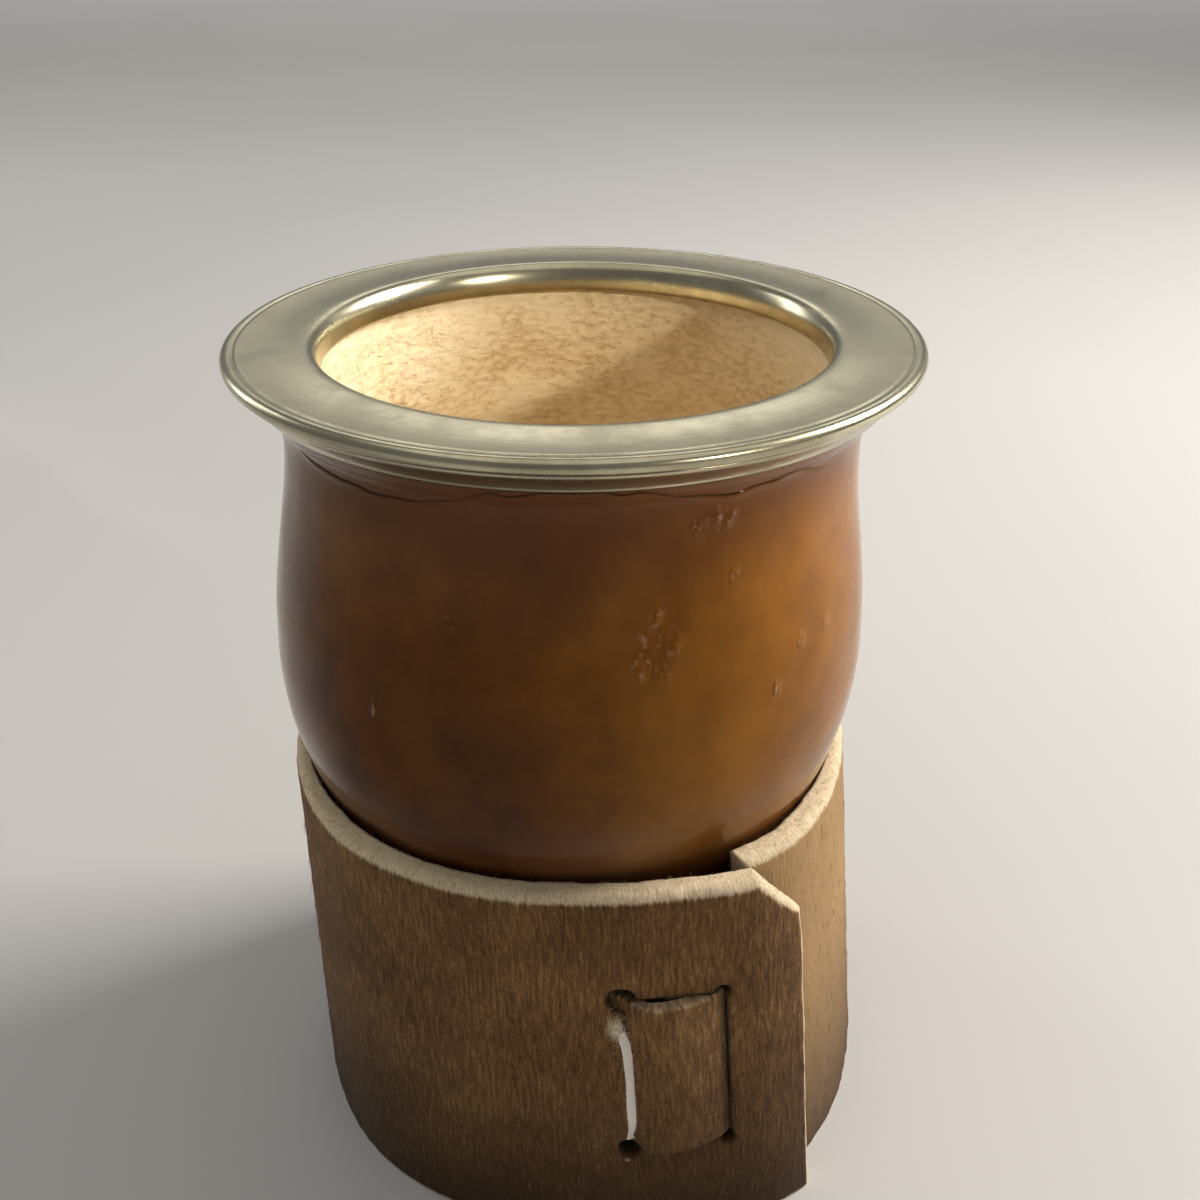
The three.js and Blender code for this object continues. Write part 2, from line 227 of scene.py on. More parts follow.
# Camera: its place, how far it looks down and its focal length, as the photograph was taken.
CAMERA_PLACE = (3.42, -186.85, 179.8)
CAMERA_DOWN = 27.9
FOCAL_LENGTH = 42.08
SENSOR = 36.0

# Studio: the floor's half width, the strength of the world's light, and the lights as kind, place, what
# it is turned to, sRGB tint and settings. Places and sizes of lights are metres.
FLOOR_HALF = 6000.0
WORLD_STRENGTH = 0.22
CUP_MIDDLE = (0, 0, 0.08)
CUP_MOUTH = (-0.015, 0.03, 0.113)
LIGHTS = {
    "window": (
        "AREA", (0.72, 0.26, 0.58), CUP_MIDDLE, "fff8f0", {"size": 0.4, "size_y": 0.4, "energy": 12.4},
    ),
    "back_softbox": ("AREA", (0, 2.9, 1.75), CUP_MIDDLE, "fffaf0", {"size": 2.1, "size_y": 1, "energy": 7}),
    "skylight": ("SUN", (0, 0, 1), (0, 0, 0), "fff8ec", {"angle": np.radians(70), "energy": 0.62}),
    "backdrop": ("AREA", (0, 2.8, 1.5), (0, 3.3, 0), "ffffff", {"size": 4, "size_y": 2, "energy": 16}),
    "left_rim": (
        "AREA", (-0.9, 0.55, 0.45), CUP_MIDDLE, "ffffff", {"size": 0.3, "size_y": 0.6, "energy": 2},
    ),
    "snoot": (
        "SPOT", (0.48, -0.46, 0.38), CUP_MOUTH, "fff3e0",
        {"spot_size": np.radians(6), "spot_blend": 1, "shadow_soft_size": 0.04, "energy": 25},
    ),
}


def linear(colour):
    """A colour given as sRGB hex, as the linear values that the shaders take."""
    parts = np.array([int(colour[i : i + 2], 16) / 255 for i in (0, 2, 4)])
    low, high = parts / 12.92, ((parts + 0.055) / 1.055) ** 2.4
    return tuple(float(v) for v in np.where(parts <= 0.04045, low, high))


def smooth(value, start, end):
    """A smooth step from 0 at start to 1 at end."""
    t = np.clip((value - start) / (end - start), 0, 1)
    return t * t * (3 - 2 * t)


def window(value, bottom, full_bottom, full_top, top):
    """1 between the full values, falling smoothly to 0 at the bottom and top."""
    return smooth(value, bottom, full_bottom) * (1 - smooth(value, full_top, top))


def curve_through(points, spans=16):
    """Points on a smooth curve through the given ones, with spans steps between two of them."""
    p = np.array([points[0], *points, points[-1]], float)
    t = np.linspace(0, 1, spans, endpoint=False)[:, None]
    parts = []
    for a, b, c, d in zip(p[:-3], p[1:-2], p[2:-1], p[3:]):
        slope_b, slope_c = (c - a) / 2, (d - b) / 2
        parts.append(
            (2 * b - 2 * c + slope_b + slope_c) * t**3
            + (3 * c - 3 * b - 2 * slope_b - slope_c) * t**2
            + slope_b * t
            + b
        )
    return np.vstack([*parts, p[-1]])


def path_reader(path):
    """A function that reads the radius of a path at any angle."""
    angles, radii = curve_through(path).T
    return lambda angle: np.interp(angle, angles, radii)


def arc(x, y, radius, start, end, steps):
    """Points of an arc round (x, y), from one angle to another."""
    turn = np.radians(np.linspace(start, end, steps + 1))
    return np.column_stack([x + radius * np.cos(turn), y + radius * np.sin(turn)])


# Nodes. The kinds and settings that are used most have short names.

ATTRIBUTE = "ShaderNodeAttribute"
PRINCIPLED = "ShaderNodeBsdfPrincipled"
BUMP = "ShaderNodeBump"
COMBINE = "ShaderNodeCombineXYZ"
MAPPING = "ShaderNodeMapping"
MAP_RANGE = "ShaderNodeMapRange"
MATH = "ShaderNodeMath"
MIX = "ShaderNodeMix"
OUTPUT = "ShaderNodeOutputMaterial"
SEPARATE = "ShaderNodeSeparateXYZ"
TEXTURE_PLACE = "ShaderNodeTexCoord"
NOISE = "ShaderNodeTexNoise"
VECTOR_MATH = "ShaderNodeVectorMath"
RANDOM = "FunctionNodeRandomValue"
SOFT_STEP = {"interpolation_type": "SMOOTHSTEP"}
AS_COLOUR = {"data_type": "RGBA"}


def grain(size):
    """The noise scale at which a pattern's lumps are about a size in millimetres."""
    return 1 / (size * MM)


def opaque(tone):
    """A colour with its alpha, from sRGB hex or from a linear setting."""
    return (*(linear(tone) if isinstance(tone, str) else tone), 1)


def add(tree, kind, inputs=None, **settings):
    """Adds a node with its settings, and sets each input to a value or links it to a node or socket."""
    node = tree.nodes.new(kind)
    for name, value in settings.items():
        setattr(node, name, value)
    for key, value in (inputs or {}).items():
        if isinstance(key, int):
            socket = node.inputs[key]
        else:
            socket = next(s for s in node.inputs if s.name == key and s.enabled)
        if isinstance(value, Node):
            value = next(s for s in value.outputs if s.enabled)
        if isinstance(value, NodeSocket):
            tree.links.new(value, socket)
        else:
            socket.default_value = value
    return node


def new_material(name):
    """An empty node material and its tree."""
    material = bpy.data.materials.new(name)
    material.use_nodes = True
    material.node_tree.nodes.clear()
    return material, material.node_tree


def ramp(tree, factor, stops):
    """A colour ramp between stops of (place, sRGB hex or linear colour)."""
    node = add(tree, "ShaderNodeValToRGB", {"Fac": factor})
    elements = node.color_ramp.elements
    for place, _ in stops[2:]:
        elements.new(place)
    for element, (place, tone) in zip(elements, stops):
        element.position = place
        element.color = opaque(tone)
    return node


def geometry_tree(name, inputs):
    """A geometry node tree with a mesh input, the named inputs and a mesh output."""
    tree = bpy.data.node_groups.new(name, "GeometryNodeTree")
    tree.is_modifier = True
    tree.interface.new_socket("Geometry", in_out="INPUT", socket_type="NodeSocketGeometry")
    for label, (kind, value) in inputs.items():
        socket = tree.interface.new_socket(label, in_out="INPUT", socket_type=kind)
        if value is not None:
            socket.default_value = value
    tree.interface.new_socket("Geometry", in_out="OUTPUT", socket_type="NodeSocketGeometry")
    return tree, add(tree, "NodeGroupInput").outputs


def run_tree(source, tree, values, name=None):
    """Runs a tree on an object and returns a plain mesh, with no modifier left on the object."""
    modifier = source.modifiers.new(tree.name, "NODES")
    modifier.node_group = tree
    sockets = {s.name: s.identifier for s in tree.interface.items_tree if s.in_out == "INPUT"}
    for label, value in values.items():
        modifier[sockets[label]] = value
    evaluated = source.evaluated_get(bpy.context.evaluated_depsgraph_get())
    mesh = bpy.data.meshes.new_from_object(evaluated)
    mesh.name = name or source.name
    source.modifiers.remove(modifier)
    return mesh


# Meshes


def link_object(name, mesh):
    """Puts a mesh into the scene as an object at the origin."""
    piece = bpy.data.objects.new(name, mesh)
    bpy.context.scene.collection.objects.link(piece)
    return piece


def make_mesh(name, vertices, faces, materials):
    """A smooth shaded mesh from vertices in millimetres."""
    mesh = bpy.data.meshes.new(name)
    mesh.from_pydata(np.asarray(vertices, float) * MM, [], faces)
    for material in materials:
        mesh.materials.append(material)
    mesh.shade_smooth()
    mesh.update()
    return mesh


def set_attribute(mesh, name, values):
    """Stores one number for each vertex."""
    mesh.attributes.new(name, "FLOAT", "POINT").data.foreach_set("value", np.asarray(values, np.float32))


def finish_piece(piece, node):
    """Keeps the piece within the cup's own box, as a loose fibre may reach out of it, tells the frame what
    it rides on by hanging it on the root body, and hides the frame's part that it stands for."""
    places = np.empty(len(piece.data.vertices) * 3, np.float32)
    piece.data.vertices.foreach_get("co", places)
    low, high = (np.array(corner, np.float32) for corner in CAD_BOX)
    piece.data.vertices.foreach_set("co", np.clip(places.reshape(-1, 3), low, high).ravel())
    piece.data.update()
    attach(piece, "root")
    if node:
        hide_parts(node)


# Settings that a user would change


def length(name, description, default, low, high):
    """A length property, given in millimetres."""
    return FloatProperty(
        name=name, description=description, default=default * MM, min=low * MM, max=high * MM,
        unit="LENGTH", subtype="DISTANCE", precision=4,
    )


def colour(name, description, default):
    """A colour property, given as sRGB hex."""
    return FloatVectorProperty(
        name=name, description=description, default=linear(default), size=3, min=0, max=1, subtype="COLOR"
    )


class CUP_PG_gourd(PropertyGroup):
    """Sizes and colours of the varnished gourd."""

    unevenness: length("Unevenness", "Height of the slow waves that a grown shell has", 0.35, 0, 1)
    light: colour("Light varnish", "Colour where the dye is thin", "9b6317")
    middle: colour("Middle varnish", "Colour of most of the shell", "6b3d08")
    dark: colour("Dark varnish", "Colour where the dye is thick", "432204")
    inside: colour("Raw inside", "Colour of the scraped inside", "eedab2")


class CUP_PG_collar(PropertyGroup):
    """Sizes and colours of the nickel silver collar."""

    bead: length("Bead radius", "Radius of the rolled bead round the flange", 1.0, 0.5, 1.5)
    mouth: length("Mouth radius", "Radius of the opening", 34.6, 30, 36)
    mouth_rounding: length("Mouth rounding", "Radius of the rounded inner lip", 1.8, 0.5, 3)
    metal: colour("Metal", "Colour of the clean metal", "c6c0a4")
    tarnish: colour("Tarnish", "Colour of the handled, clouded metal", "aca68c")


class CUP_PG_leather(PropertyGroup):
    """Sizes and colours of the rough leather ring."""

    rounding: length("Edge rounding", "Radius of the strip's worn edges", 0.6, 0.1, 1)
    nap: length("Nap length", "Length of the fibres on the rough side", 2.2, 0.5, 5)
    nap_count: IntProperty(
        name="Nap fibres", description="Fibres on each square centimetre", default=26, min=0, max=80
    )
    face: colour("Rough side", "Colour of the rough side", "795734")
    shade: colour("Dark nap", "Colour between the fibres", "51381e")
    streak: colour("Fibre tips", "Colour of the fibres' tips", "aa8453")
    cut: colour("Cut edge", "Colour of the cut edges", "ead8b8")
    torn: colour("Torn edge", "Colour of the torn white edge at the slot", "fff7ec")


# Materials


def varnished_calabash(settings):
    """Dyed calabash under gloss varnish: deep brown clouds, soft wide highlights, fine dust in the coat.
    Painted light lightens the window side; painted shade darkens the neck under the collar, the bottom and
    the crack; painted sheen lies in two grey bands, and painted glints lie on the scuffs.
    """
    material, tree = new_material("varnished_calabash")
    place = add(tree, TEXTURE_PLACE).outputs["Object"]
    parts = add(tree, SEPARATE, {"Vector": place})
    upright = add(tree, MAPPING, {"Vector": place, "Scale": (1, 1, 0.7)})
    clouds = add(tree, NOISE, {"Vector": upright, "Scale": grain(40), "Detail": 3, "Roughness": 0.5})
    blotches = add(tree, NOISE, {"Vector": place, "Scale": grain(7), "Detail": 5, "Roughness": 0.6})
    dye = add(tree, MATH, {0: clouds, 1: 0.75}, operation="MULTIPLY")
    dye = add(tree, MATH, {0: blotches, 1: 0.25, 2: dye}, operation="MULTIPLY_ADD")
    # Painted light: the side towards the window light, +X, is painted lighter.
    lit_side = add(
        tree, MAP_RANGE,
        {"Value": parts.outputs["X"], "From Min": -0.012, "From Max": 0.024, "To Min": -0.06, "To Max": 0.2},
        **SOFT_STEP,
    )
    dye = add(tree, MATH, {0: dye, 1: lit_side}, operation="ADD")
    shell = ramp(tree, dye, [(0.32, settings.dark), (0.5, settings.middle), (0.72, settings.light)])

    # Painted shade: the shell is painted darker under the collar and towards the bottom.
    height = parts.outputs["Z"]
    under_collar = add(tree, MAP_RANGE, {"Value": height, "From Min": 0.1, "From Max": 0.113}, **SOFT_STEP)
    near_bottom = add(tree, MAP_RANGE, {"Value": height, "From Min": 0.074, "From Max": 0.052}, **SOFT_STEP)
    painted_shade = add(tree, MATH, {0: under_collar, 1: near_bottom}, operation="MAXIMUM")
    painted_shade = add(tree, MATH, {0: painted_shade, 1: 0.6}, operation="MULTIPLY")
    toned = add(tree, MIX, {"Factor": painted_shade, "A": shell, "B": opaque("572d14")}, **AS_COLOUR)

    # Painted sheen: a soft grey reflection is painted in patches, in a band under the collar and another
    # near the bottom.
    upper_band = add(
        tree, MAP_RANGE, {"Value": height, "From Min": 0.092, "From Max": 0.104, "To Max": 0.4}, **SOFT_STEP
    )
    lower_band = add(tree, MAP_RANGE, {"Value": height, "From Min": 0.074, "From Max": 0.064}, **SOFT_STEP)
    sheen_patches = add(tree, MAP_RANGE, {"Value": clouds, "From Min": 0.36, "From Max": 0.62, "To Max": 0.3})
    haze = add(tree, MATH, {0: upper_band, 1: lower_band}, operation="MAXIMUM")
    haze = add(tree, MATH, {0: haze, 1: sheen_patches}, operation="MULTIPLY")
    toned = add(tree, MIX, {"Factor": haze, "A": toned, "B": opaque("857062")}, **AS_COLOUR)

    # Painted shade: the crack is painted near black for the shade in its gap. Painted glints: the scuffs get
    # pale flecks for the highlights on them.
    crack = add(tree, ATTRIBUTE, attribute_name="crack").outputs["Fac"]
    scuff = add(tree, ATTRIBUTE, attribute_name="scuff").outputs["Fac"]
    flakes = add(tree, NOISE, {"Vector": place, "Scale": grain(1), "Detail": 2})
    pale = add(tree, MATH, {0: flakes, 1: 0.58}, operation="GREATER_THAN")
    pale = add(tree, MATH, {0: pale, 1: scuff}, operation="MULTIPLY")
    pale = add(tree, MATH, {0: pale, 1: 0.34}, operation="MULTIPLY")
    painted_glints = add(tree, MIX, {"Factor": pale, "A": toned, "B": opaque("d8b08a")}, **AS_COLOUR)
    base = add(tree, MIX, {"Factor": crack, "A": painted_glints, "B": opaque("120805")}, **AS_COLOUR)

    dust = add(tree, NOISE, {"Vector": place, "Scale": grain(0.9), "Detail": 3})
    ripple = add(tree, NOISE, {"Vector": place, "Scale": grain(7), "Detail": 2})
    relief = add(tree, MATH, {0: dust, 1: 0.12, 2: ripple}, operation="MULTIPLY_ADD")
    chips = add(tree, MATH, {0: flakes, 1: scuff}, operation="MULTIPLY")
    bump = add(tree, BUMP, {"Height": relief, "Strength": 0.14, "Distance": 0.0006})
    bump = add(tree, BUMP, {"Height": chips, "Strength": 0.8, "Distance": 0.0007, "Normal": bump})
    gloss = add(tree, MAP_RANGE, {"Value": blotches, "To Min": 0.06, "To Max": 0.2})
    shader = add(
        tree, PRINCIPLED,
        {"Base Color": base, "Roughness": gloss, "IOR": 1.34, "Specular IOR Level": 0.3, "Normal": bump},
    )
    add(tree, OUTPUT, {"Surface": shader})
    return material


def raw_calabash(settings):
    """The scraped inside of a dried calabash: pale and matt, with short streaks and pits of the pith."""
    material, tree = new_material("raw_calabash")
    place = add(tree, TEXTURE_PLACE).outputs["Object"]
    flat = add(tree, MAPPING, {"Vector": place, "Scale": (1, 1, 1.9)})
    pith = add(tree, NOISE, {"Vector": flat, "Scale": grain(1.6), "Detail": 4, "Roughness": 0.6})
    stains = add(tree, NOISE, {"Vector": place, "Scale": grain(14), "Detail": 3})
    tone = add(tree, MATH, {0: pith, 1: 0.45}, operation="MULTIPLY")
    tone = add(tree, MATH, {0: stains, 1: 0.55, 2: tone}, operation="MULTIPLY_ADD")
    base = ramp(tree, tone, [(0.3, "c8a674"), (0.52, settings.inside), (0.68, "f0dfbc")])
    pits = add(tree, MAP_RANGE, {"Value": pith, "From Min": 0.3, "From Max": 0.5})
    lumps = add(tree, NOISE, {"Vector": flat, "Scale": grain(3.4), "Detail": 1})
    pits = add(tree, MATH, {0: lumps, 1: 2.5, 2: pits}, operation="MULTIPLY_ADD")
    bump = add(tree, BUMP, {"Height": pits, "Strength": 0.5, "Distance": 0.0004})
    shader = add(tree, PRINCIPLED, {"Base Color": base, "Roughness": 0.82, "Normal": bump})
    add(tree, OUTPUT, {"Surface": shader})
    return material


def spun_nickel_silver(settings):
    """Spun and polished nickel silver: warm grey, faint rings from the lathe, clouded by handling."""
    material, tree = new_material("spun_nickel_silver")
    place = add(tree, TEXTURE_PLACE).outputs["Object"]
    cloud = add(tree, NOISE, {"Vector": place, "Scale": grain(13), "Detail": 3, "Roughness": 0.55})
    haze = add(tree, NOISE, {"Vector": place, "Scale": grain(3.5), "Detail": 4, "Roughness": 0.6})
    handled = add(tree, MATH, {0: haze, 1: 0.3}, operation="MULTIPLY")
    handled = add(tree, MATH, {0: cloud, 1: 0.7, 2: handled}, operation="MULTIPLY_ADD")
    clouded = add(tree, MAP_RANGE, {"Value": handled, "From Min": 0.4, "From Max": 0.62}, **SOFT_STEP)
    base = add(
        tree, MIX,
        {"Factor": clouded, "A": opaque(settings.metal), "B": opaque(settings.tarnish)}, **AS_COLOUR,
    )

    # Rings from the lathe follow the distance from the axis, and on the steep faces the height.
    parts = add(tree, SEPARATE, {"Vector": place})
    across = add(tree, COMBINE, {"X": parts.outputs["X"], "Y": parts.outputs["Y"]})
    radius = add(tree, VECTOR_MATH, {0: across}, operation="LENGTH").outputs["Value"]
    rings_at = add(tree, COMBINE, {"X": radius, "Y": parts.outputs["Z"]})
    rings = add(tree, NOISE, {"Vector": rings_at, "Scale": grain(0.45), "Detail": 3})
    scratches = add(tree, NOISE, {"Vector": place, "Scale": grain(0.8), "Detail": 2, "Distortion": 1.5})
    relief = add(tree, MATH, {0: scratches, 1: 0.15, 2: rings}, operation="MULTIPLY_ADD")
    bump = add(tree, BUMP, {"Height": relief, "Strength": 0.03, "Distance": 0.0003})
    polish = add(
        tree, MAP_RANGE,
        {"Value": handled, "From Min": 0.35, "From Max": 0.65, "To Min": 0.19, "To Max": 0.3},
    )
    shader = add(
        tree, PRINCIPLED, {"Base Color": base, "Metallic": 1.0, "Roughness": polish, "Normal": bump}
    )
    add(tree, OUTPUT, {"Surface": shader})
    return material


def rough_hide(settings):
    """Thick vegetable tanned leather, rough side out: a matt brown nap with upright streaks, and pale
    fibrous edges where a knife has cut it. Painted light makes the tucked end paler, and painted shade
    darkens the foot and the edges at the slots."""
    material, tree = new_material("rough_hide")
    place = add(tree, "ShaderNodeUVMap", uv_map="hide").outputs["UV"]
    streaks_at = add(tree, MAPPING, {"Vector": place, "Scale": (1, 0.12, 1)})
    streaks = add(
        tree, NOISE,
        {"Vector": streaks_at, "Scale": grain(0.45), "Detail": 4, "Roughness": 0.65, "Distortion": 0.4},
    )
    fibres_at = add(tree, MAPPING, {"Vector": place, "Scale": (1, 0.3, 1)})
    fibres = add(
        tree, NOISE,
        {"Vector": fibres_at, "Scale": grain(0.22), "Detail": 3, "Roughness": 0.6, "Distortion": 0.8},
    )
    patches = add(tree, NOISE, {"Vector": place, "Scale": grain(16), "Detail": 3})
    tone = add(tree, MATH, {0: streaks, 1: 0.48}, operation="MULTIPLY")
    tone = add(tree, MATH, {0: fibres, 1: 0.28, 2: tone}, operation="MULTIPLY_ADD")
    tone = add(tree, MATH, {0: patches, 1: 0.24, 2: tone}, operation="MULTIPLY_ADD")
    nap = ramp(tree, tone, [(0.39, settings.shade), (0.51, settings.face), (0.65, settings.streak)])

    # Painted light: the tucked end, on the side where the window light falls, is painted paler.
    # Painted shade: the foot is painted darker.
    spot = add(tree, SEPARATE, {"Vector": place})
    tucked = add(
        tree, MAP_RANGE, {"Value": spot.outputs["X"], "From Min": 0.06, "From Max": -0.01, "To Max": 0.6}
    )
    paler = add(tree, MIX, {"Factor": tucked, "A": nap, "B": opaque("b8976a")}, **AS_COLOUR)
    foot = add(
        tree, MAP_RANGE, {"Value": spot.outputs["Y"], "From Min": 0.036, "From Max": 0, "To Max": 0.9}
    )
    nap = add(tree, MIX, {"Factor": foot, "A": paler, "B": opaque("33220f")}, **AS_COLOUR)

    # Cut edges show the paler middle of the hide, with a ragged border. The torn edge is nearly white.
    cut = add(tree, ATTRIBUTE, attribute_name="cut").outputs["Fac"]
    ragged = add(tree, MATH, {0: streaks, 1: 0.9, 2: cut}, operation="MULTIPLY_ADD")
    shown = add(tree, MAP_RANGE, {"Value": ragged, "From Min": 0.7, "From Max": 1.2}, **SOFT_STEP)
    flesh = ramp(tree, fibres, [(0.3, "b8a37f"), (0.65, settings.cut)])
    edged = add(tree, MIX, {"Factor": shown, "A": nap, "B": flesh}, **AS_COLOUR)
    # Painted shade: the edges at the slots and the tongue's edges are painted dark brown, as they lie in
    # shade.
    grime = add(tree, ATTRIBUTE, attribute_name="grime").outputs["Fac"]
    grime = add(tree, MATH, {0: grime, 1: 0.85}, operation="MULTIPLY")
    edged = add(tree, MIX, {"Factor": grime, "A": edged, "B": opaque("40301a")}, **AS_COLOUR)
    torn = add(tree, ATTRIBUTE, attribute_name="torn").outputs["Fac"]
    broken = add(tree, MATH, {0: fibres, 1: 0.5, 2: torn}, operation="MULTIPLY_ADD")
    white = add(tree, MAP_RANGE, {"Value": broken, "From Min": 0.66, "From Max": 0.86}, **SOFT_STEP)
    base = add(tree, MIX, {"Factor": white, "A": edged, "B": opaque(settings.torn)}, **AS_COLOUR)
    relief = add(tree, MATH, {0: fibres, 1: 0.5, 2: streaks}, operation="MULTIPLY_ADD")
    shaved = add(tree, MAP_RANGE, {"Value": shown, "To Min": 1.0, "To Max": 0.2})
    relief = add(tree, MATH, {0: relief, 1: shaved}, operation="MULTIPLY")
    bump = add(tree, BUMP, {"Height": relief, "Strength": 0.5, "Distance": 0.0003})
    surface = {"Roughness": 0.9, "Specular IOR Level": 0.2, "Sheen Weight": 0.06}
    shader = add(tree, PRINCIPLED, {"Base Color": base, **surface, "Normal": bump})
    add(tree, OUTPUT, {"Surface": shader})
    return material


def loose_fibre(name, dark, light):
    """Loose collagen fibres of the hide: matt, each a little lighter or darker than the next."""
    material, tree = new_material(name)
    place = add(tree, TEXTURE_PLACE).outputs["Object"]
    tone = add(tree, NOISE, {"Vector": place, "Scale": grain(2.2), "Detail": 2})
    base = ramp(tree, tone, [(0.36, dark), (0.62, light)])
    shader = add(tree, PRINCIPLED, {"Base Color": base, "Roughness": 0.85})
    add(tree, OUTPUT, {"Surface": shader})
    return material


def floor_paint():
    """Matt pale paint of the studio floor."""
    material, tree = new_material("pale_floor")
    place = add(tree, TEXTURE_PLACE).outputs["Object"]
    mottle = add(tree, NOISE, {"Vector": place, "Scale": grain(300), "Detail": 2})
    base = ramp(tree, mottle, [(0.3, "b9b8b6"), (0.7, "bebdbb")])
    shader = add(tree, PRINCIPLED, {"Base Color": base, "Roughness": 0.6})
    add(tree, OUTPUT, {"Surface": shader})
    return material


# Geometry node trees


def uneven_tree():
    """Moves a surface in and out by slow noise, as a grown or handled thing is never quite even."""
    tree, given = geometry_tree(
        "uneven_surface",
        {
            "Depth": ("NodeSocketFloat", 0.0003),
            "Wave": ("NodeSocketVector", (0.02, 0.02, 0.02)),
            "Seed": ("NodeSocketFloat", 0.0),
        },
    )
    position = add(tree, "GeometryNodeInputPosition")
    normal = add(tree, "GeometryNodeInputNormal")
    scaled = add(tree, VECTOR_MATH, {0: position, 1: given["Wave"]}, operation="DIVIDE")
    noise = add(
        tree, NOISE, {"Vector": scaled, "W": given["Seed"], "Scale": 1.0, "Detail": 2.0},
        noise_dimensions="4D",
    )
    centred = add(tree, MATH, {0: noise, 1: 0.5}, operation="SUBTRACT")
    height = add(tree, MATH, {0: centred, 1: given["Depth"]}, operation="MULTIPLY")
    offset = add(tree, VECTOR_MATH, {0: normal, "Scale": height}, operation="SCALE")
    moved = add(tree, "GeometryNodeSetPosition", {"Geometry": given["Geometry"], "Offset": offset})
    add(tree, "NodeGroupOutput", {"Geometry": moved})
    return tree


def turning_tree():
    """Turns a closed profile round the upright axis, as a lathe would, into a metal ring."""
    tree, given = geometry_tree(
        "turned_ring",
        {
            "Radius": ("NodeSocketFloat", 0.03),
            "Steps": ("NodeSocketInt", 256),
            "Material": ("NodeSocketMaterial", None),
        },
    )
    circle = {"Resolution": given["Steps"], "Radius": given["Radius"]}
    path = add(tree, "GeometryNodeCurvePrimitiveCircle", circle)
    ring = add(tree, "GeometryNodeCurveToMesh", {"Curve": path, "Profile Curve": given["Geometry"]})
    soft = add(tree, "GeometryNodeSetShadeSmooth", {"Geometry": ring, "Shade Smooth": True})
    plain = add(tree, "GeometryNodeRealizeInstances", {"Geometry": soft})
    painted = add(tree, "GeometryNodeSetMaterial", {"Geometry": plain, "Material": given["Material"]})
    add(tree, "NodeGroupOutput", {"Geometry": painted})
    return tree


def fibre_tree():
    """Sets short bent fibres on a surface where an attribute allows them. They lie along the given
    direction, and Lift raises them towards the surface's normal."""
    tree, given = geometry_tree(
        "hide_fibres",
        {
            "Where": ("NodeSocketString", "nap"),
            "Per square metre": ("NodeSocketFloat", 1000.0),
            "Length": ("NodeSocketFloat", 0.002),
            "Thickness": ("NodeSocketFloat", 0.0001),
            "Direction": ("NodeSocketVector", (0, 0, 1)),
            "Lift": ("NodeSocketFloat", 0.1),
            "Spread": ("NodeSocketFloat", 0.3),
            "Seed": ("NodeSocketInt", 1),
            "Material": ("NodeSocketMaterial", None),
        },
    )
    allowed = add(tree, "GeometryNodeInputNamedAttribute", {"Name": given["Where"]}, data_type="FLOAT")
    density = add(tree, MATH, {0: allowed, 1: given["Per square metre"]}, operation="MULTIPLY")
    points = add(
        tree,
        "GeometryNodeDistributePointsOnFaces",
        {"Mesh": given["Geometry"], "Density": density, "Seed": given["Seed"]},
    )
    raised = add(tree, VECTOR_MATH, {0: points.outputs["Normal"], "Scale": given["Lift"]}, operation="SCALE")
    scatter = add(
        tree,
        RANDOM,
        {0: (-1, -1, -1), 1: (1, 1, 1), "Seed": given["Seed"]},
        data_type="FLOAT_VECTOR",
    )
    scattered = add(tree, VECTOR_MATH, {0: scatter, "Scale": given["Spread"]}, operation="SCALE")
    aim = add(tree, VECTOR_MATH, {0: raised, 1: scattered}, operation="ADD")
    aim = add(tree, VECTOR_MATH, {0: aim, 1: given["Direction"]}, operation="ADD")
    turn = add(tree, "FunctionNodeAlignRotationToVector", {"Vector": aim}, axis="Z")

    stalk = add(
        tree,
        "GeometryNodeCurveQuadraticBezier",
        {"Resolution": 4, "Start": (0, 0, -0.05), "Middle": (0.22, 0.1, 0.45), "End": (0, 0, 1)},
    )
    across = add(tree, MATH, {0: given["Thickness"], 1: given["Length"]}, operation="DIVIDE")
    along = add(tree, "GeometryNodeSplineParameter").outputs["Factor"]
    taper = add(tree, MAP_RANGE, {"Value": along, "To Min": 1.0, "To Max": 0.25})
    tapered = add(tree, "GeometryNodeSetCurveRadius", {"Curve": stalk, "Radius": taper})
    round_section = add(tree, "GeometryNodeCurvePrimitiveCircle", {"Resolution": 3, "Radius": across})
    fibre = add(
        tree,
        "GeometryNodeCurveToMesh",
        {"Curve": tapered, "Profile Curve": round_section, "Scale": taper, "Fill Caps": True},
    )
    size = add(tree, RANDOM, {2: 0.45, 3: 1.0, "Seed": given["Seed"]}, data_type="FLOAT")
    size = add(tree, MATH, {0: size, 1: given["Length"]}, operation="MULTIPLY")
    placed = add(
        tree,
        "GeometryNodeInstanceOnPoints",
        {"Points": points, "Instance": fibre, "Rotation": turn, "Scale": size},
    )
    plain = add(tree, "GeometryNodeRealizeInstances", {"Geometry": placed})
    painted = add(tree, "GeometryNodeSetMaterial", {"Geometry": plain, "Material": given["Material"]})
    add(tree, "NodeGroupOutput", {"Geometry": painted})
    return tree


# The gourd


